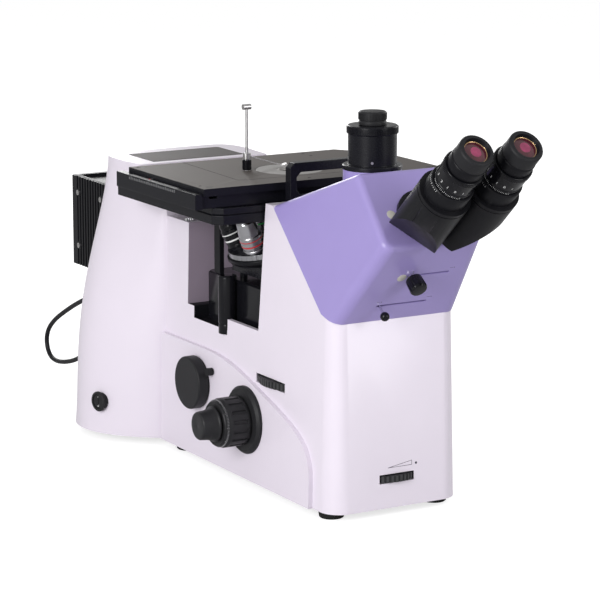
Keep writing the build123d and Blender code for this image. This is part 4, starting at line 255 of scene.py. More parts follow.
SLOT_FINISHES = {
    "body_paint": "body_enamel", "head_paint": "violet_enamel", "cover_paint": "cover_enamel",
    "black_paint": "black_satin", "black_anodised": "black_anodised", "stage_anodised": "stage_brown",
    "chrome": "polished_chrome", "steel": "satin_steel", "black_plastic": "matt_plastic",
    "rubber": "foot_rubber", "objective_metal": "objective_alloy", "glass": "lens_coating",
    "mirror": "mirror_silver", "cable": "cable_rubber",
}
NODE_FINISHES = {
    "stage_screws": "black_satin", "ball_lever": "gloss_black", "beam_lever": "gloss_black",
    "stage_insert": "insert_grey", "column_top_plate": "plate_brown", "turret_ring": "ring_steel",
    "clip_arm": "satin_steel", "left_prism_housing": "housing_black", "right_prism_housing": "housing_black",
    "focus_block": "gloss_black", "stage_base": "stage_edge", "stage_carriage": "stage_edge",
}
slot_of = {part["node"]: part["material_slot"] for part in frame["record"]["subparts"]}
body_of = {node: body for body, nodes in frame["record"]["behaviour"]["bodies"].items() for node in nodes}


def finish_name(node):
    return NODE_FINISHES.get(node, SLOT_FINISHES[slot_of[node]])


def paint_frame():
    """Gives every CAD node the finish of its slot."""
    for name, piece in frame["nodes"].items():
        finish = finish_of[finish_name(name)]
        for index in range(len(piece.material_slots)):
            piece.material_slots[index].material = finish


paint_frame()


# Tools for making pieces. Lengths are millimetres where they aren't named otherwise
LEAST_EASE = 0.03
JOIN_WITHIN = 1e-6
CAD_JOIN_WITHIN = 2e-6
CAD_FLAT_WITHIN = radians(0.4)
# Where the points of one flute stand, as shares of its width, and which of them are sunk
FLUTE_PHASES = (0.0, 0.15, 0.29, 0.34, 0.5, 0.66, 0.71, 0.85)
SUNK_FROM = 0.3
SUNK_TO = 0.7


def finished(name, mesh, body, slot, *nodes):
    """Puts a mesh, or a list of meshes as one, into the scene as a piece that rides on a body and stands for
    these CAD nodes."""
    if isinstance(mesh, list):
        mesh = joined(name, mesh)
    piece = bpy.data.objects.new(name, mesh)
    bpy.context.scene.collection.objects.link(piece)
    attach(piece, body)
    if nodes:
        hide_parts(*nodes)
    return piece


def smooth(mesh, angle=32.0):
    mesh.shade_smooth()
    mesh.set_sharp_from_angle(angle=radians(angle))


def eased(outline, reach):
    """The outline with each corner rounded by a short curve of three points."""
    points = [outline[0]]
    for before, here, after in zip(outline, outline[1:], outline[2:]):
        corner = Vector(here[:2])
        back = Vector(before[:2]) - corner
        on = Vector(after[:2]) - corner
        cut = min(reach, 0.45 * back.length, 0.45 * on.length)
        if cut < LEAST_EASE:
            points.append(here)
            continue
        start = corner + back.normalized() * cut
        end = corner + on.normalized() * cut
        middle = corner * 0.5 + (start + end) * 0.25
        points.append((*start, before[2]))
        points.append((*middle, here[2]))
        points.append((*end, here[2]))
    points.append(outline[-1])
    return points


def made_mesh(name, shape, finishes):
    """The mesh of a finished shape, with its materials."""
    mesh = bpy.data.meshes.new(name)
    shape.to_mesh(mesh)
    shape.free()
    for finish in finishes:
        mesh.materials.append(finish)
    return mesh


def coated(outline):
    """The outline's points as (radius, height, finish). A finish stands before the points that have it."""
    points = []
    for entry in outline:
        if isinstance(entry, str):
            finish = entry
        else:
            points.append((*entry, finish))
    return points


def turned_mesh(name, place, outline, segments=96, ease=0.35, flutes=0, flute_depth=0.0, fluted=(0.0, 0.0)):
    """A turned shape about the Z of a place. Its outline lists radius and height of each point, with each
    finish named before its points. Flutes are long hollows let into it between two heights."""
    outline = eased(coated(outline), ease)
    names = sorted({finish for radius, height, finish in outline})
    repeats = flutes or segments
    phases = FLUTE_PHASES if flutes else (0.0,)
    turns = [2 * pi * ((number + phase) / repeats) for number in range(repeats) for phase in phases]
    hollow = [SUNK_FROM < phase < SUNK_TO for number in range(repeats) for phase in phases]
    shape = bmesh.new()
    rings = []
    for radius, height, finish in outline:
        cut = fluted[0] < height < fluted[1]
        loop = []
        for turn, sunk in zip(turns, hollow):
            r = radius - flute_depth if cut and sunk else radius
            loop.append(shape.verts.new((r * cos(turn) * MM, r * sin(turn) * MM, height * MM)))
        rings.append(loop)
    for low, high, (radius, height, finish) in zip(rings, rings[1:], outline):
        for this in range(len(turns)):
            following = (this + 1) % len(turns)
            face = shape.faces.new((low[this], low[following], high[following], high[this]))
            face.material_index = names.index(finish)
    bmesh.ops.remove_doubles(shape, verts=shape.verts, dist=JOIN_WITHIN)
    bmesh.ops.dissolve_degenerate(shape, edges=shape.edges, dist=JOIN_WITHIN / 10)
    bmesh.ops.recalc_face_normals(shape, faces=shape.faces)
    mesh = made_mesh(name, shape, [finish_of[finish] for finish in names])
    mesh.transform(place)
    smooth(mesh)
    return mesh


def joined(name, meshes):
    """One mesh from several, each keeping its own finishes."""
    finishes = []
    for mesh in meshes:
        for material in mesh.materials:
            if material not in finishes:
                finishes.append(material)
    shape = bmesh.new()
    for mesh in meshes:
        places = [finishes.index(material) for material in mesh.materials]
        before = len(shape.faces)
        shape.from_mesh(mesh)
        shape.faces.ensure_lookup_table()
        for index in range(before, len(shape.faces)):
            face = shape.faces[index]
            face.material_index = places[face.material_index] if places else 0
    return made_mesh(name, shape, finishes)


# Node trees for what repeats
def new_tree(name, inputs):
    """An empty tree of geometry nodes with these named inputs, and its input and output nodes."""
    tree = bpy.data.node_groups.new(name, "GeometryNodeTree")
    for label, kind, value in inputs:
        socket = tree.interface.new_socket(label, in_out="INPUT", socket_type=kind)
        if value is not None:
            socket.default_value = value
    tree.interface.new_socket("Mesh", in_out="OUTPUT", socket_type="NodeSocketGeometry")
    return tree, tree.nodes.new("NodeGroupInput"), tree.nodes.new("NodeGroupOutput")


def feed(tree, node, *values):
    """Sets or links the first inputs of a node, and gives its first output."""
    for socket, value in zip(node.inputs, values):
        if isinstance(value, (int, float)):
            socket.default_value = value
        else:
            tree.links.new(value, socket)
    return node.outputs[0]


def math_node(tree, operation, *values):
    node = tree.nodes.new("ShaderNodeMath")
    node.operation = operation
    return feed(tree, node, *values)


def vector_node(tree, x, y, z):
    return feed(tree, tree.nodes.new("ShaderNodeCombineXYZ"), x, y, z)


def end_tree(tree, instances, finish, outward):
    """The end of a tree: what was planted becomes a real mesh with its finish."""
    real = tree.nodes.new("GeometryNodeRealizeInstances")
    tree.links.new(instances, real.inputs["Geometry"])
    paint = tree.nodes.new("GeometryNodeSetMaterial")
    tree.links.new(real.outputs["Geometry"], paint.inputs["Geometry"])
    tree.links.new(finish, paint.inputs["Material"])
    tree.links.new(paint.outputs["Geometry"], outward.inputs["Mesh"])


BAR_INPUTS = [
    ("Count", "NodeSocketInt", 10), ("Out", "NodeSocketFloat", 0.001), ("Across", "NodeSocketFloat", 0.001),
    ("Along", "NodeSocketFloat", 0.001), ("Long Every", "NodeSocketInt", 1),
    ("Long Factor", "NodeSocketFloat", 1.0), ("Finish", "NodeSocketMaterial", None),
]
RING_INPUTS = [
    ("Radius", "NodeSocketFloat", 0.01), ("Start", "NodeSocketFloat", 0.0), ("Step", "NodeSocketFloat", 0.1),
]
ROW_INPUTS = [("Pitch", "NodeSocketFloat", 0.001)]


def bar_tree(name, on_ring):
    """Small bars, set round a ring or along a row. Every so many of them is longer."""
    tree, inward, outward = new_tree(name, BAR_INPUTS + (RING_INPUTS if on_ring else ROW_INPUTS))
    link = tree.links.new
    given = inward.outputs
    index = tree.nodes.new("GeometryNodeInputIndex").outputs[0]
    line = tree.nodes.new("GeometryNodeMeshLine")
    line.inputs["Offset"].default_value = (0.0, 0.0, 0.0)
    link(given["Count"], line.inputs["Count"])
    whole = math_node(tree, "MODULO", index, given["Long Every"])
    is_long = math_node(tree, "LESS_THAN", whole, 0.5)
    growth = math_node(tree, "SUBTRACT", given["Long Factor"], 1.0)
    factor = math_node(tree, "ADD", math_node(tree, "MULTIPLY", is_long, growth), 1.0)
    length = math_node(tree, "MULTIPLY", given["Along"], factor)
    rise = math_node(tree, "MULTIPLY", length, 0.5)
    if on_ring:
        angle = math_node(tree, "ADD", given["Start"], math_node(tree, "MULTIPLY", index, given["Step"]))
        x = math_node(tree, "MULTIPLY", given["Radius"], math_node(tree, "COSINE", angle))
        y = math_node(tree, "MULTIPLY", given["Radius"], math_node(tree, "SINE", angle))
        position = vector_node(tree, x, y, rise)
        turn = vector_node(tree, 0.0, 0.0, angle)
    else:
        position = vector_node(tree, math_node(tree, "MULTIPLY", given["Pitch"], index), 0.0, rise)
        turn = None
    move = tree.nodes.new("GeometryNodeSetPosition")
    link(line.outputs["Mesh"], move.inputs["Geometry"])
    link(position, move.inputs["Position"])
    cube = tree.nodes.new("GeometryNodeMeshCube")
    link(vector_node(tree, given["Out"], given["Across"], 1.0), cube.inputs["Size"])
    plant = tree.nodes.new("GeometryNodeInstanceOnPoints")
    link(move.outputs["Geometry"], plant.inputs["Points"])
    link(cube.outputs["Mesh"], plant.inputs["Instance"])
    if turn is not None:
        link(turn, plant.inputs["Rotation"])
    link(vector_node(tree, 1.0, 1.0, length), plant.inputs["Scale"])
    end_tree(tree, plant.outputs["Instances"], given["Finish"], outward)
    return tree


HEAD_TAPER = 0.88
SOCKET_SHARE = 0.5
SOCKET_LIFT = 0.9


def screw_tree():
    """Round screw heads with a hexagon socket, one on each vertex of the mesh that comes in."""
    tree, inward, outward = new_tree("screw_heads", [
        ("Places", "NodeSocketGeometry", None), ("Radius", "NodeSocketFloat", 0.003),
        ("Height", "NodeSocketFloat", 0.0016), ("Finish", "NodeSocketMaterial", None)])
    link = tree.links.new
    given = inward.outputs
    head = tree.nodes.new("GeometryNodeMeshCone")
    head.inputs["Vertices"].default_value = 24
    link(math_node(tree, "MULTIPLY", given["Radius"], HEAD_TAPER), head.inputs["Radius Top"])
    link(given["Radius"], head.inputs["Radius Bottom"])
    link(given["Height"], head.inputs["Depth"])
    socket = tree.nodes.new("GeometryNodeMeshCylinder")
    socket.inputs["Vertices"].default_value = 6
    link(math_node(tree, "MULTIPLY", given["Radius"], SOCKET_SHARE), socket.inputs["Radius"])
    link(given["Height"], socket.inputs["Depth"])
    lift = tree.nodes.new("GeometryNodeTransform")
    link(socket.outputs["Mesh"], lift.inputs["Geometry"])
    rise = math_node(tree, "MULTIPLY", given["Height"], SOCKET_LIFT)
    link(vector_node(tree, 0.0, 0.0, rise), lift.inputs["Translation"])
    cut = tree.nodes.new("GeometryNodeMeshBoolean")
    cut.operation = "DIFFERENCE"
    link(head.outputs["Mesh"], cut.inputs["Mesh 1"])
    link(lift.outputs["Geometry"], cut.inputs["Mesh 2"])
    plant = tree.nodes.new("GeometryNodeInstanceOnPoints")
    link(given["Places"], plant.inputs["Points"])
    link(cut.outputs["Mesh"], plant.inputs["Instance"])
    end_tree(tree, plant.outputs["Instances"], given["Finish"], outward)
    return tree


RING_TREE = bar_tree("bars_round_a_ring", True)
ROW_TREE = bar_tree("bars_in_a_row", False)
SCREW_TREE = screw_tree()


def grown(tree, place, settings, seed_mesh=None):
    """The plain mesh that a tree makes with these settings, put at a place."""
    holder = bpy.data.objects.new("holder", seed_mesh or bpy.data.meshes.new("holder"))
    bpy.context.scene.collection.objects.link(holder)
    modifier = holder.modifiers.new("grow", "NODES")
    modifier.node_group = tree
    for item in tree.interface.items_tree:
        if item.item_type == "SOCKET" and item.in_out == "INPUT" and item.name in settings:
            modifier[item.identifier] = settings[item.name]
    ready = bpy.context.evaluated_depsgraph_get()
    mesh = bpy.data.meshes.new_from_object(holder.evaluated_get(ready))
    bpy.data.objects.remove(holder)
    mesh.transform(place)
    return mesh


def ring_of_bars(place, radius, count, out, across, along, finish, start=0.0, step=None, every=1, factor=1.0):
    """Bars round a place's Z. Start and step are degrees."""
    turn = 360.0 / count if step is None else step
    return grown(RING_TREE, place, {
        "Count": count, "Radius": radius * MM, "Start": radians(start), "Step": radians(turn),
        "Out": out * MM, "Across": across * MM, "Along": along * MM, "Long Every": every,
        "Long Factor": factor, "Finish": finish_of[finish]})


def row_of_bars(place, count, pitch, out, across, along, finish, every=1, factor=1.0):
    """Bars along a place's X, standing up its Z. Across is measured along X and out along Y."""
    return grown(ROW_TREE, place, {
        "Count": count, "Pitch": pitch * MM, "Out": across * MM, "Across": out * MM, "Along": along * MM,
        "Long Every": every, "Long Factor": factor, "Finish": finish_of[finish]})


def screw_heads(places, radius, height, finish):
    """Screw heads at these places, each place with its Z out of the surface."""
    heads = []
    for place in places:
        seed = bpy.data.meshes.new("screw_place")
        seed.from_pydata([(0.0, 0.0, height * MM * 0.5)], [], [])
        settings = {"Radius": radius * MM, "Height": height * MM, "Finish": finish_of[finish]}
        heads.append(grown(SCREW_TREE, place, settings, seed))
    return heads


def soften(piece, width, angle=30.0, harden=False):
    """Rounds the edges of a piece that turn by more than an angle."""
    rounding = piece.modifiers.new("soft_edges", "BEVEL")
    rounding.width = width * MM
    rounding.segments = 2
    rounding.limit_method = "ANGLE"
    rounding.angle_limit = radians(angle)
    rounding.harden_normals = harden
    rounding.use_clamp_overlap = True


def dress(node, bevel, angle=30.0, repaint=None):
    """A copy of a CAD node with joined faces, softened edges and its own finish."""
    shape = bmesh.new()
    shape.from_mesh(frame["nodes"][node].data)
    bmesh.ops.remove_doubles(shape, verts=shape.verts, dist=CAD_JOIN_WITHIN)
    bmesh.ops.dissolve_limit(shape, angle_limit=CAD_FLAT_WITHIN, verts=shape.verts, edges=shape.edges)
    mesh = made_mesh(node + "_shell", shape, [finish_of[finish_name(node)]])
    if repaint:
        repaint(mesh)
    smooth(mesh, angle)
    soften(finished(node + "_shell", mesh, body_of[node], slot_of[node], node), bevel, angle, harden=True)


def prism(name, place, outline, height, finish):
    """A straight piece with this outline, standing up the Z of a place."""
    shape = bmesh.new()
    low = [shape.verts.new((x * MM, y * MM, 0.0)) for x, y in outline]
    high = [shape.verts.new((x * MM, y * MM, height * MM)) for x, y in outline]
    shape.faces.new(low)
    shape.faces.new(high)
    for index in range(len(outline)):
        following = (index + 1) % len(outline)
        shape.faces.new((low[index], low[following], high[following], high[index]))
    bmesh.ops.recalc_face_normals(shape, faces=shape.faces)
    mesh = made_mesh(name, shape, [finish_of[finish]])
    mesh.transform(place)
    return mesh


# Castings and plates, with softened edges. The bay is the hollow in the base under the stage
BAY_HALF_W = 71.0
BAY_FRONT = -66.0
BAY_BACK = 96.0
BAY_LOW = 150.0
BAY_HIGH = 176.0
BAY_STEP = 172.0
BAY_REAR = 94.0
FACING = 0.9


def blacken_bay_and_paint_shade(mesh):
    """The floor and the step of the bay are painted black, and its rear wall gets a darker copy of the body
    enamel as painted shade.
    """
    mesh.materials.append(finish_of["black_satin"])
    mesh.materials.append(finish_of["bay_wall_painted_shade"])
    low = at(-BAY_HALF_W, BAY_FRONT, BAY_LOW)
    high = at(BAY_HALF_W, BAY_BACK, BAY_HIGH)
    step = at(0.0, BAY_REAR, BAY_STEP)
    for face in mesh.polygons:
        inside = all(a <= c <= b for a, c, b in zip(low, face.center, high))
        if inside and (face.normal.z > FACING or face.center.z < step.z):
            face.material_index = 1
        # Faces of the rear wall take the darker enamel, as painted shade.
        rear = abs(face.center.y - step.y) < 0.5 * MM
        if rear and face.normal.y < -FACING and face.center.z > step.z:
            face.material_index = 2


def blacken_edges(mesh):
    """Only the upper face of the stage keeps the brown; its edges and underside are black."""
    mesh.materials.append(finish_of["stage_edge"])
    for face in mesh.polygons:
        if face.normal.z < FACING:
            face.material_index = 1


EDGE_WIDTHS = {
    "main_casting": 0.9, "side_covers": 0.7, "carry_handle": 0.8, "focus_block": 0.7, "lamp_house": 0.7,
    "column_top_plate": 0.4, "stage_base": 0.6, "stage_carriage": 0.6, "stage_top": 0.4,
    "aperture_wheel": 0.25, "rear_column": 1.2, "side_port_cap": 0.7, "focus_flanges": 0.5,
    "camera_tube": 0.4, "switch_bezel": 0.3, "rear_panel": 0.5, "binocular_pivot": 0.4, "dimmer_wheel": 0.25,
}
REPAINTS = {"main_casting": blacken_bay_and_paint_shade, "stage_top": blacken_edges}

for dressed_node, edge_width in EDGE_WIDTHS.items():
    dress(dressed_node, edge_width, repaint=REPAINTS.get(dressed_node))

# Binocular. The head's two facets meet at its tip, and the eyepieces stand square on the upper one
PIECE_GAP = 0.3
HEAD_RIDGE = Vector((0.0, -230.0, 359.0))
HEAD_TIP = Vector((0.0, -290.0, 292.0))
HEAD_FOOT = Vector((0.0, -217.5, 205.0))
DOWN_UPPER = (HEAD_TIP - HEAD_RIDGE).normalized()
DOWN_LOWER = (HEAD_FOOT - HEAD_TIP).normalized()
OUT_UPPER = Vector((1.0, 0.0, 0.0)).cross(DOWN_UPPER) * -1.0
OUT_LOWER = Vector((1.0, 0.0, 0.0)).cross(DOWN_LOWER) * -1.0
EYE_PIVOT_DOWN = 57.5
EYE_HALF_GAP = 28.0
EYE_ARM = 37.5
HOLDER_TOP = 104.0
HOLDER_R = 22.5
HOLDER_BORE_R = 14.95
DIOPTER_R = 20.5
DIOPTER_BORE_R = 15.4
DIOPTER_TOP = 130.0
DIOPTER_DIGITS = "32101"
DIGIT_STEP = 24.0
DIGIT_SIZE = 4.2
TICKS_PER_DIGIT = 5
SCALE_MIDDLE = 215.0
KNURLS = 72
EYEPIECE_R = 18.4
RIM_R = 17.9
RIM_FROM = 144.5
EYEPIECE_TOP = 158.5
SIDES = {"left": -1, "right": 1}


def upper_facet(x, down, out=0.0):
    """A place on the head's upper facet, a distance down from its ridge, its Z out of the facet."""
    spot = HEAD_RIDGE + DOWN_UPPER * down + OUT_UPPER * out
    return placed(at(x, spot.y, spot.z), OUT_UPPER)


def lower_facet(x, down, out=0.0):
    """A place on the head's lower facet, a distance down from its tip."""
    spot = HEAD_TIP + DOWN_LOWER * down + OUT_LOWER * out
    return placed(at(x, spot.y, spot.z), OUT_LOWER)


def tube(side, out=0.0):
    """A place on the axis of an eyepiece tube."""
    drop = (EYE_ARM ** 2 - EYE_HALF_GAP ** 2) ** 0.5
    return upper_facet(side * EYE_HALF_GAP, EYE_PIVOT_DOWN + drop, out)


def wrapped_digits(text, place, radius, angle, height, size, finish):
    """A digit lying round a turned piece's wall, its foot towards the lower end."""
    curve = bpy.data.curves.new("digit", "FONT")
    curve.body = text
    curve.size = size * MM
    curve.align_x = "CENTER"
    curve.extrude = 0.04 * MM
    holder = bpy.data.objects.new("digit", curve)
    bpy.context.scene.collection.objects.link(holder)
    ready = bpy.context.evaluated_depsgraph_get()
    mesh = bpy.data.meshes.new_from_object(holder.evaluated_get(ready))
    bpy.data.objects.remove(holder)
    for vertex in mesh.vertices:
        x, y, z = vertex.co
        turn = radians(angle) + x / (radius * MM)
        r = radius * MM + z
        vertex.co = (r * cos(turn), r * sin(turn), height * MM + y)
    mesh.materials.clear()
    mesh.materials.append(finish_of[finish])
    mesh.transform(place)
    return mesh


def make_diopter_ring(word, side):
    place = tube(side)
    low = HOLDER_TOP + PIECE_GAP
    wall = DIOPTER_R - 0.4
    groove = DIOPTER_R - 0.9
    parts = [turned_mesh("diopter", place, [
        "gloss_black", (DIOPTER_BORE_R, low), (wall, low), (wall, HOLDER_TOP + 4.5),
        (groove, HOLDER_TOP + 5.0), (groove, HOLDER_TOP + 5.6), (wall, HOLDER_TOP + 6.1),
        (wall, DIOPTER_TOP - 6.0), (DIOPTER_R, DIOPTER_TOP - 5.4), (DIOPTER_R, DIOPTER_TOP - 0.6),
        (DIOPTER_R - 0.6, DIOPTER_TOP), (DIOPTER_BORE_R, DIOPTER_TOP), (DIOPTER_BORE_R, low)], segments=128)]
    start = SCALE_MIDDLE - DIGIT_STEP * (len(DIOPTER_DIGITS) - 1) / 2
    count = TICKS_PER_DIGIT * (len(DIOPTER_DIGITS) - 1) + 1
    parts.append(ring_of_bars(raised(place, HOLDER_TOP + 1.2), wall, count, 0.1, 0.28, 1.3, "engraved_white",
                              start=start, step=DIGIT_STEP / TICKS_PER_DIGIT, every=TICKS_PER_DIGIT,
                              factor=1.6))
    for index, digit in enumerate(DIOPTER_DIGITS):
        parts.append(wrapped_digits(digit, place, wall - 0.02, start + DIGIT_STEP * index, HOLDER_TOP + 9.0,
                                    DIGIT_SIZE, "engraved_white"))
    parts.append(ring_of_bars(raised(place, DIOPTER_TOP - 5.2), DIOPTER_R, KNURLS, 0.5, 0.9, 4.4,
                              "gloss_black"))
    finished(word + "_diopter_scale", parts, word + "_diopter", "black_anodised",
             word + "_diopter_ring")


def make_eyepiece(word, side):
    edge = EYEPIECE_R - 0.7
    top = EYEPIECE_TOP
    # The lens's brighter pink centre is a painted highlight.
    shell = turned_mesh("eyepiece", tube(side), [
        "black_satin", (0.0, HOLDER_TOP - 18.0), (HOLDER_BORE_R, HOLDER_TOP - 18.0),
        (HOLDER_BORE_R, DIOPTER_TOP + 0.4), (EYEPIECE_R - 0.4, DIOPTER_TOP + 0.4),
        (EYEPIECE_R, DIOPTER_TOP + 1.0), (EYEPIECE_R, RIM_FROM - 3.2), (edge, RIM_FROM - 2.6),
        "rim_rubber", (edge, RIM_FROM - 1.4), (RIM_R, RIM_FROM), (RIM_R, top - 1.6),
        (RIM_R - 1.6, top), "black_satin", (13.4, top), "gold_ring", (12.2, top - 4.2),
        "lens_coating", (11.6, top - 4.5), (9.0, top - 3.9),
        "lens_glow", (5.6, top - 3.4), (0.0, top - 3.2)], segments=128, ease=0.5)
    finished(word + "_eyepiece_shell", shell, word + "_tube", "black_plastic", word + "_eyepiece")


APRON_HALF_W = 58.2
APRON_TOP = 91.2
APRON_FOOT = 113.1
APRON_T = 4.0
APRON_OUT = 0.02


def make_head_apron():
    """The foot of the lower facet, between the ball lever's slot and the front face."""
    outline = [(-APRON_HALF_W, -APRON_FOOT), (APRON_HALF_W, -APRON_FOOT), (APRON_HALF_W, -APRON_TOP),
               (-APRON_HALF_W, -APRON_TOP)]
    back = lower_facet(0.0, 0.0, APRON_OUT - APRON_T)
    plate = prism("apron", back, outline, APRON_T, "violet_enamel")
    finished("head_apron", plate, "frame", "head_paint")


def make_binocular():
    make_head_apron()
    for word, side in SIDES.items():
        make_diopter_ring(word, side)
        make_eyepiece(word, side)
        dress(word + "_prism_housing", 0.5, angle=35.0)
        marks = [ring_of_bars(tube(side, HOLDER_TOP - 3.0), HOLDER_R, 9, 0.12, 0.35, 1.6, "engraved_white",
                              start=150.0, step=6.0, every=4, factor=1.5)]
        finished(word + "_holder_marks", marks, word + "_tube", "black_anodised")


make_binocular()

# Camera port: the knurled collar on its tube, the dust cap and a set screw
PORT_Y = -170.0
PORT_TUBE_R = 25.0
PORT_TUBE_TOP = 388.0
PORT_BORE_R = 13.2
PORT_PLUG_R = 12.4
COLLAR_R = 26.6
COLLAR_H = 9.0
PORT_CAP_R = 14.7
PORT_CAP_H = 14.0
GRIP_OUT = 0.5
COLLAR_KNURLS = 96
CAP_KNURLS = 60
SET_SCREW_TURN = radians(32.0)
SET_SCREW_Z = 361.0


def make_camera_port():
    foot = upright(0.0, PORT_Y, 0.0)
    top = PORT_TUBE_TOP + COLLAR_H
    rim = COLLAR_R - GRIP_OUT
    collar = turned_mesh("collar", foot, [
        "black_anodised", (PORT_BORE_R, PORT_TUBE_TOP), (rim - 0.8, PORT_TUBE_TOP),
        (rim, PORT_TUBE_TOP + 0.8), (rim, top - 1.0), (rim - 1.2, top), (PORT_BORE_R, top),
        (PORT_BORE_R, PORT_TUBE_TOP)], segments=128)
    grip = ring_of_bars(raised(foot, PORT_TUBE_TOP + 1.2), rim, COLLAR_KNURLS, 0.9, 0.9, COLLAR_H - 2.6,
                        "black_anodised")
    finished("collar_grip", [collar, grip], "frame", "black_anodised", "camera_collar")
    low = top + PIECE_GAP
    high = low + PORT_CAP_H - 0.4
    rim = PORT_CAP_R - GRIP_OUT
    cap = turned_mesh("cap", foot, [
        "matt_plastic", (0.0, top - 3.8), (PORT_PLUG_R, top - 3.8), (PORT_PLUG_R, low), (rim, low),
        (rim, low + 3.2), (rim - 0.5, low + 3.6), (rim - 0.5, low + 4.6), (rim, low + 5.0), (rim, high - 1.2),
        (rim - 1.2, high), (0.0, high)])
    grip = ring_of_bars(raised(foot, low + 5.4), rim, CAP_KNURLS, 0.9, 0.75, PORT_CAP_H - 7.4, "matt_plastic")
    finished("cap_grip", [cap, grip], "camera_cap_body", "black_plastic", "camera_cap")
    out = Vector((-sin(SET_SCREW_TURN), -cos(SET_SCREW_TURN), 0.0))
    spot = Vector((0.0, PORT_Y, SET_SCREW_Z)) + out * PORT_TUBE_R
    screw = screw_heads([placed(at(*spot), out)], 1.5, 0.5, "satin_steel")
    finished("port_set_screw", screw, "frame", "steel")


make_camera_port()

# Focus knobs
FOCUS_Y = -50.0
FOCUS_Z = 73.0
FLANGE_OUT = 88.0
COARSE_R = 26.5
COARSE_BORE_R = 5.6
COARSE_L = 31.5
COARSE_FLUTES = 16
COARSE_FLUTE_DEPTH = 1.4
FINE_R = 19.0
FINE_TIP_R = 15.0
FINE_BORE_R = 3.1
FINE_L = 20.0
DIAL_TICKS = 100


def make_knobs():
    coarse = []
    fine = []
    for side in SIDES.values():
        place = placed(at(0.0, FOCUS_Y, FOCUS_Z), (side, 0.0, 0.0), side=(0.0, 1.0, 0.0))
        low = FLANGE_OUT + PIECE_GAP
        high = low + COARSE_L
        coarse.append(turned_mesh("coarse", place, [
            "knob_black", (COARSE_BORE_R, low), (COARSE_R - 1.5, low), (COARSE_R - 1.5, low + 1.6),
            (COARSE_R, low + 2.4), (COARSE_R, low + 4.6), (COARSE_R, low + 5.1), (COARSE_R, high - 10.0),
            (COARSE_R, high - 9.5), (COARSE_R, high - 7.4), (COARSE_R - 0.5, high - 6.6),
            (COARSE_R - 2.4, high - 1.0), (COARSE_R - 3.2, high), (COARSE_R - 5.2, high - 0.6),
            (FINE_R + 0.4, high - 1.4), (COARSE_BORE_R, high - 1.6), (COARSE_BORE_R, low)], ease=0.25,
            flutes=COARSE_FLUTES, flute_depth=COARSE_FLUTE_DEPTH, fluted=(low + 4.8, high - 9.8)))
        coarse.append(ring_of_bars(raised(place, high - 4.6), COARSE_R - 1.3, DIAL_TICKS, 0.5, 0.22, 2.0,
                                   "engraved_grey", every=10, factor=1.5))
        low = high + PIECE_GAP
        high = low + FINE_L
        fine.append(turned_mesh("fine", place, [
            "knob_black", (FINE_BORE_R, low), (FINE_R - 0.8, low), (FINE_R, low + 0.8), (FINE_R, low + 2.0),
            (FINE_R - 1.2, low + 3.4), (FINE_TIP_R + 1.0, low + 9.0), (FINE_TIP_R, high - 1.6),
            (FINE_TIP_R - 0.9, high - 0.4), (FINE_TIP_R - 2.4, high), (0.0, high), (0.0, high - 3.0),
            (FINE_BORE_R, high - 3.0), (FINE_BORE_R, low)], ease=0.5))
    finished("coarse_grips", coarse, "coarse", "black_plastic", "coarse_knobs")
    finished("fine_grips", fine, "fine", "black_plastic", "fine_knobs")


make_knobs()

# Marks on the head. Each slot has its left end, its right end and its place down the facet
STICKER_R = 5.0
STICKER_T = 0.25
INK_T = 0.06
SLOT_MARKS = [(-13.0, 35.0, 45.0), (-33.0, 26.0, 89.0)]
SLOT_MARK_RISE = 6.0
SLOT_MARK_L = 3.4


def flat_disc(place, radius, thickness, finish):
    outline = [finish, (0.0, 0.0), (radius, 0.0), (radius, thickness), (0.0, thickness)]
    return turned_mesh("disc", place, outline, segments=40, ease=0.1)


def strip(place, length, width, thickness, finish):
    """A thin bar along a place's X, centred on it."""
    return row_of_bars(place, 1, 1.0, width, length, thickness, finish)


def line_between(start, end, up, width, thickness, finish):
    """A thin bar from one point to another on a surface that faces up."""
    middle = (Vector(start) + Vector(end)) / 2
    run = Vector(end) - Vector(start)
    return strip(placed(at(*middle), up, side=run), run.length, width, thickness, finish)


def make_marks():
    dots = [flat_disc(upper_facet(-35.3, 50.6), STICKER_R, STICKER_T, "sticker_paper"),
            flat_disc(lower_facet(-20.3, 47.0), STICKER_R, STICKER_T, "sticker_paper")]
    finished("blank_discs", dots, "frame", "head_paint")
    lines = []
    for left, right, down in SLOT_MARKS:
        for x in (left, right):
            lines.append(strip(lower_facet(x, down - SLOT_MARK_RISE), SLOT_MARK_L, 0.35, INK_T, "ink"))
            lines.append(flat_disc(lower_facet(x + SLOT_MARK_L, down - SLOT_MARK_RISE), 0.6, INK_T, "ink"))
    finished("slot_marks", lines, "frame", "head_paint")


make_marks()

# Front face: the wedge of the brightness wheel and its dot
FOOT_H = 8.0
CASTING_FRONT = -222.0
CASTING_HALF_W = 78.5
CASTING_DRAFT = radians(1.3)
FRONT_OUT = Vector((0.0, -cos(CASTING_DRAFT), sin(CASTING_DRAFT)))
WEDGE = [(-10.6, 50.4), (18.0, 55.0), (18.0, 50.4)]
WEDGE_DOT = (23.2, 51.6)
WEDGE_DOT_R = 1.3


def casting_half_width(z):
    return CASTING_HALF_W - (z - FOOT_H) * tan(CASTING_DRAFT)


def front_spot(x, z):
    return Vector((x, CASTING_FRONT + (z - FOOT_H) * tan(CASTING_DRAFT), z))


def make_front_marks():
    corners = [front_spot(x, z) for x, z in WEDGE]
    lines = []
    for start, end in zip(corners, corners[1:] + corners[:1]):
        lines.append(line_between(start, end, FRONT_OUT, 0.45, INK_T, "ink"))
    lines.append(flat_disc(placed(at(*front_spot(*WEDGE_DOT)), FRONT_OUT), WEDGE_DOT_R, INK_T, "ink"))
    finished("wedge_mark", lines, "frame", "body_paint")


make_front_marks()

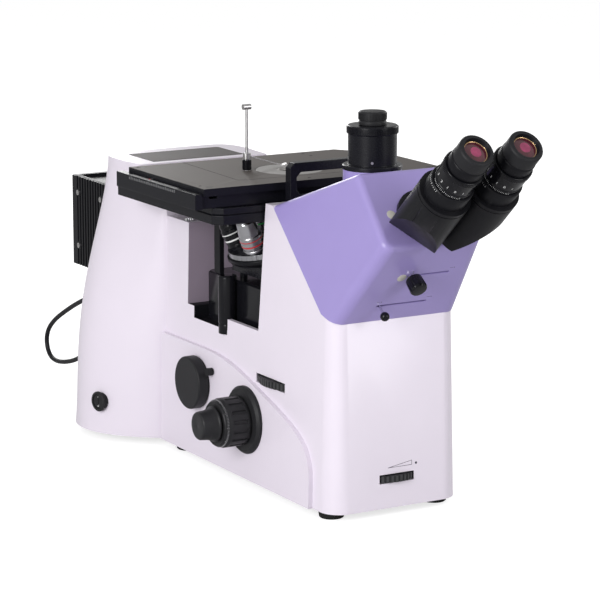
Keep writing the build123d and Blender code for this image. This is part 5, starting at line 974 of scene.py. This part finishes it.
# Bay: the focus block's boss, the wall's lip in front of it, the carrier's guide rail and the shelf's pins
BOSS_AT = (-69.0, 13.0, 0.0)
BOSS_LOW = 153.7
BOSS_TOP = 217.3
BOSS_R = 10.3
BOSS_NECK_LOW = 163.4
BOSS_NECK_H = 1.2
LIP_LOW = 158.95
LIP_TOP = 171.0
LIP_BACK = 2.4
LIP_T = 5.0
RAIL = [(-62.0, 43.0), (-56.5, 43.0), (-56.5, 46.0), (-59.0, 47.5),
        (-59.0, 51.5), (-56.5, 53.0), (-56.5, 56.0), (-62.0, 56.0)]
RAIL_LOW = 212.2
RAIL_H = 76.0
SHELF_PINS = [(-72.0, 101.0, 262.0), (-66.5, 101.0, 262.0)]
SHELF_PIN_R = 2.2
SHELF_PIN_H = 2.6


def make_bay():
    boss = turned_mesh("boss", upright(*BOSS_AT), [
        "gloss_black", (0.0, BOSS_LOW), (BOSS_R - 0.4, BOSS_LOW), (BOSS_R - 0.4, BOSS_NECK_LOW),
        (BOSS_R - 0.6, BOSS_NECK_LOW + 0.4), (BOSS_R - 0.6, BOSS_NECK_LOW + BOSS_NECK_H),
        (BOSS_R, BOSS_NECK_LOW + BOSS_NECK_H + 0.4), (BOSS_R, BOSS_TOP - 2.3), (BOSS_R - 0.9, BOSS_TOP - 0.5),
        (BOSS_R - 1.9, BOSS_TOP), (0.0, BOSS_TOP)])
    finished("boss_shell", boss, "frame", "black_paint")
    section = [(-casting_half_width(LIP_LOW), LIP_LOW), (-casting_half_width(LIP_TOP), LIP_TOP),
               (LIP_T - casting_half_width(LIP_TOP), LIP_TOP), (LIP_T - casting_half_width(LIP_LOW), LIP_LOW)]
    along = placed(at(0.0, LIP_BACK, 0.0), (0.0, -1.0, 0.0))
    lip = prism("lip", along, section, LIP_BACK - BAY_FRONT, "body_enamel")
    finished("bay_lip", lip, "frame", "body_paint")
    rail = prism("rail", upright(0.0, 0.0, RAIL_LOW), RAIL, RAIL_H, "black_satin")
    soften(finished("guide_rail", rail, "frame", "black_paint"), 0.6)
    pins = screw_heads([upright(*pin) for pin in SHELF_PINS], SHELF_PIN_R, SHELF_PIN_H, "polished_chrome")
    finished("shelf_pins", pins, "frame", "chrome")


make_bay()

# Nosepiece. It leans to the left, and its objectives lean out from its own axis by as much
NOSE_TILT = radians(14.0)
SEAT_RING_R = 29.5
SEAT_Z = 262.0
NOSE_OUT = Vector((cos(NOSE_TILT), 0.0, sin(NOSE_TILT)))
NOSE_AXIS = Vector((-sin(NOSE_TILT), 0.0, cos(NOSE_TILT)))
NOSE_CENTRE = Vector((0.0, 0.0, SEAT_Z)) - NOSE_OUT * SEAT_RING_R
THREAD_R = 9.9
THREAD_L = 4.8
BOWL_R = 45.0
BOWL_BORE_R = 37.3
# Each objective's length, barrel radius, tip radius, finish and band
OBJECTIVES = [
    (53.0, 13.2, 5.5, "objective_alloy", "band_blue"), (46.0, 12.6, 4.5, "objective_alloy", "band_green"),
    (40.0, 12.8, 6.5, "gloss_black", "engraved_white"), (38.0, 12.8, 8.0, "objective_alloy", "signal_red"),
    (44.0, 12.6, 5.0, "gloss_black", "engraved_white"),
]


def seat_place(index):
    """The place of an objective on the turret, its Z along the objective."""
    turn = radians(360.0 / len(OBJECTIVES) * index)
    out = NOSE_OUT * cos(turn) + NOSE_AXIS.cross(NOSE_OUT) * sin(turn)
    axis = NOSE_AXIS * cos(NOSE_TILT) + out * sin(NOSE_TILT)
    return placed(at(*(NOSE_CENTRE + out * SEAT_RING_R)), axis, side=out)


def objective_mesh(index):
    length, barrel, tip, metal, band = OBJECTIVES[index]
    half = 0.5 * length
    return turned_mesh("objective", seat_place(index), [
        metal, (0.0, -THREAD_L), (THREAD_R, -THREAD_L), (THREAD_R, 0.0), (barrel, 0.0), (barrel, 3.0),
        (barrel - 0.4, 3.4), (barrel - 0.4, 4.4), (barrel, 4.8), band, (barrel, 8.0), metal, (barrel, 9.8),
        band, (barrel, half - 4.5), metal, (barrel, half - 3.3), (barrel, half), (barrel - 1.0, half + 1.0),
        (barrel - 1.0, 0.62 * length), (tip + 2.5, length - 7.0), (tip + 2.0, length - 3.0), (tip, length),
        "hole_black", (tip - 1.6, length), "lens_coating", (tip - 2.0, length - 0.8), (0.0, length - 0.8)],
        segments=64, ease=0.2)


def make_nosepiece():
    barrels = [objective_mesh(index) for index in range(len(OBJECTIVES))]
    finished("objective_set", barrels, "turret", "objective_metal", "objectives")
    bowl = turned_mesh("bowl", placed(at(*NOSE_CENTRE), NOSE_AXIS), [
        "black_satin", (BOWL_BORE_R, -9.7), (BOWL_R - 0.4, -9.7), (BOWL_R, -10.3), (BOWL_R, -13.5),
        (BOWL_R - 4.0, -18.0), (BOWL_BORE_R, -19.5), (BOWL_BORE_R, -9.7)], segments=128)
    finished("nosepiece_bowl", bowl, "carrier", "black_paint")
    dress("turret_ring", 0.2)
    dress("nosepiece_turret", 0.4)


make_nosepiece()

# Stage: the inset line, small holes drawn as black discs of painted shade, the ruler with its pointer, and
# the clip's collar
STAGE_Z = 328.0
LEDGE_Z = 322.7
INSET_LINE = [(-77.4, 90.0), (-83.0, -31.5), (-82.0, -36.5), (-77.0, -39.6), (39.4, -44.1)]
STAGE_HOLES = [(68.3, 88.7), (69.2, 72.8), (-10.4, -60.3), (-77.1, 94.7), (-135.1, -50.7), (-135.0, 92.0),
               (144.0, 22.5), (144.0, -62.0)]
STAGE_HOLE_R = 1.7
RULER_X = -148.0
LEDGE_SIDE_X = -150.98
RULER_FROM = -23.5
RULER_PITCH = 4.0
RULER_TICKS = 27
POINTER_AT = (-141.9, 44.0, LEDGE_Z + 0.5)
POINTER = [(0.0, 0.0), (3.4, 0.0), (3.4, 0.5), (1.0, 1.2), (1.0, 5.0), (0.0, 5.0)]
POINTER_TIP_AT = (-144.9, 44.2, LEDGE_Z + 0.45)
POINTER_TIP = [(0.0, 0.0), (1.2, 0.0), (1.2, 0.6), (0.0, 1.2)]
CLIP_AT = (-42.0, 18.0, STAGE_Z)
CLIP_COLLAR_R = 4.7
CLIP_NECK_R = 2.8
CLIP_BORE_R = 1.7


def make_stage_details():
    lines = []
    for start, end in zip(INSET_LINE, INSET_LINE[1:]):
        lines.append(line_between((*start, STAGE_Z), (*end, STAGE_Z), UP, 0.8, 0.05, "hole_black"))
    # Each small hole is a flat black disc, as painted shade.
    for x, y in STAGE_HOLES:
        lines.append(flat_disc(upright(x, y, STAGE_Z), STAGE_HOLE_R, INK_T, "hole_black"))
    finished("stage_marks", lines, "y_slide", "stage_anodised")
    foot = placed(at(RULER_X, RULER_FROM, LEDGE_Z), UP, side=(0.0, 1.0, 0.0))
    ticks = row_of_bars(foot, RULER_TICKS, RULER_PITCH, 5.0, 0.9, INK_T, "engraved_white")
    foot = placed(at(LEDGE_SIDE_X, RULER_FROM, LEDGE_Z - 4.4), UP, side=(0.0, 1.0, 0.0))
    side_ticks = row_of_bars(foot, RULER_TICKS, RULER_PITCH, 0.1, 0.8, 2.6, "engraved_grey", every=5,
                             factor=1.3)
    finished("stage_ruler", [ticks, side_ticks], "x_slide", "black_anodised")
    front = (0.0, -1.0, 0.0)
    left = (-1.0, 0.0, 0.0)
    pointer = prism("pointer", placed(at(*POINTER_AT), front, side=left), POINTER, 1.6, "satin_steel")
    tip = prism("pointer_tip", placed(at(*POINTER_TIP_AT), front, side=left), POINTER_TIP, 2.0, "signal_red")
    finished("ruler_pointer", [pointer, tip], "y_slide", "steel")
    collar = turned_mesh("collar", upright(*CLIP_AT), [
        "gloss_black", (CLIP_BORE_R, PIECE_GAP), (CLIP_COLLAR_R, PIECE_GAP), (CLIP_COLLAR_R, 11.0),
        (CLIP_COLLAR_R - 0.7, 12.2), "polished_chrome", (CLIP_NECK_R, 12.3), (CLIP_NECK_R, 18.0),
        (CLIP_BORE_R, 19.0), "gloss_black", (CLIP_BORE_R, PIECE_GAP)], segments=48, ease=0.2)
    knurl = ring_of_bars(raised(upright(*CLIP_AT), 1.2), CLIP_COLLAR_R, 28, 0.5, 0.5, 9.2, "gloss_black")
    finished("clip_collar", [collar, knurl], "y_slide", "black_anodised")


make_stage_details()

# The two wheels that look out of the casting: axle, foot and height of the teeth, and radius
WHEELS = {
    "dimmer": (0.0, CASTING_FRONT + 29.7, 35.7, 6.6, 34.0),
    "aperture": (-23.93, -92.5, 117.5, 7.0, 58.0),
}
TEETH_PER_MM = 1.25
TOOTH_SINK = 0.35


def make_wheel_teeth():
    for word, (x, y, low, height, radius) in WHEELS.items():
        teeth = ring_of_bars(upright(x, y, low), radius - TOOTH_SINK, round(radius * TEETH_PER_MM), 0.9, 2.6,
                             height, "tooth_black")
        finished(word + "_teeth", teeth, word + "_body", "black_plastic")


make_wheel_teeth()

# Power switch marks: a bar for on above a ring for off
SWITCH_AT = Vector((-133.0, 203.0, 45.0))
SWITCH_TURN = radians(77.5)
SWITCH_FACE = 0.82
SWITCH_SIGN_RISE = Vector((0.0, 0.0, 4.6))


def make_switch_marks():
    out = Vector((-sin(SWITCH_TURN), -cos(SWITCH_TURN), 0.0))
    along = Vector((-cos(SWITCH_TURN), sin(SWITCH_TURN), 0.0))
    middle = SWITCH_AT + out * SWITCH_FACE
    on = placed(at(*(middle + SWITCH_SIGN_RISE)), out, side=along)
    off = placed(at(*(middle - SWITCH_SIGN_RISE)), out, side=along)
    marks = [strip(on, 0.5, 2.8, 0.1, "engraved_white"),
             ring_of_bars(off, 1.2, 18, 0.45, 0.5, 0.1, "engraved_white")]
    finished("switch_marks", marks, "rocker_body", "black_plastic")


make_switch_marks()

# Levers on the head: the beam selector's knob, and the bright stem under the dark ball
BEAM_PLACE = (-9.7, 45.0)
BEAM_PIN_R = 1.2
BEAM_NECK_R = 5.0
BEAM_KNOB_R = 9.2
BEAM_FLUTES = 9
BEAM_FLUTE_DEPTH = 0.9
BALL_PLACE = (-29.7, 89.0)
STEM_R = 1.3
STEM_BORE_R = 1.15


def make_beam_knob():
    knob = turned_mesh("knob", lower_facet(*BEAM_PLACE), [
        "gloss_black", (0.0, -3.8), (BEAM_PIN_R, -3.8), (BEAM_PIN_R, PIECE_GAP), "polished_chrome",
        (BEAM_NECK_R, PIECE_GAP), "gloss_black", (BEAM_NECK_R, 3.6), (7.6, 4.0), (BEAM_KNOB_R - 0.6, 5.4),
        (BEAM_KNOB_R, 17.6), (BEAM_KNOB_R - 1.2, 19.7), (0.0, 19.7)], ease=0.3, flutes=BEAM_FLUTES,
        flute_depth=BEAM_FLUTE_DEPTH, fluted=(6.5, 18.5))
    finished("beam_knob", knob, "beam_selector", "black_plastic", "beam_lever")


def make_ball_stem():
    stem = turned_mesh("stem", lower_facet(*BALL_PLACE), [
        "polished_chrome", (STEM_BORE_R, -1.0), (STEM_R, -1.0), (STEM_R, 9.0), (STEM_R + 0.7, 9.4),
        (STEM_R + 0.7, 10.0), (STEM_BORE_R, 10.2), (STEM_BORE_R, -1.0)], segments=32, ease=0.1)
    finished("ball_stem", stem, "ball_selector", "chrome")


make_beam_knob()
make_ball_stem()

# The lamp's lead, from its upper gland to its lower gland, behind the column
LEAD_X = -79.0
LEAD_DIAMETER = 5.5
LEAD_ROUTE = [(312.0, 137.0), (334.0, 137.0), (371.0, 122.5), (406.0, 106.0), (433.0, 92.0), (453.0, 77.0),
              (460.0, 62.0), (455.0, 47.0), (441.0, 40.0), (415.0, 41.5), (373.0, 53.0), (334.0, 74.0),
              (312.0, 74.0)]


def make_lead():
    curve = bpy.data.curves.new("lead", "CURVE")
    curve.dimensions = "3D"
    curve.bevel_depth = LEAD_DIAMETER / 2 * MM
    curve.bevel_resolution = 6
    curve.use_fill_caps = True
    spline = curve.splines.new("NURBS")
    spline.points.add(len(LEAD_ROUTE) - 1)
    for point, (y, z) in zip(spline.points, LEAD_ROUTE):
        point.co = (*at(LEAD_X, y, z), 1.0)
    spline.order_u = 3
    spline.use_endpoint_u = True
    spline.resolution_u = 12
    curve.materials.append(finish_of["cable_rubber"])
    lead = bpy.data.objects.new("lead", curve)
    bpy.context.scene.collection.objects.link(lead)
    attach(lead, "frame")
    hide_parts("lamp_lead")


make_lead()
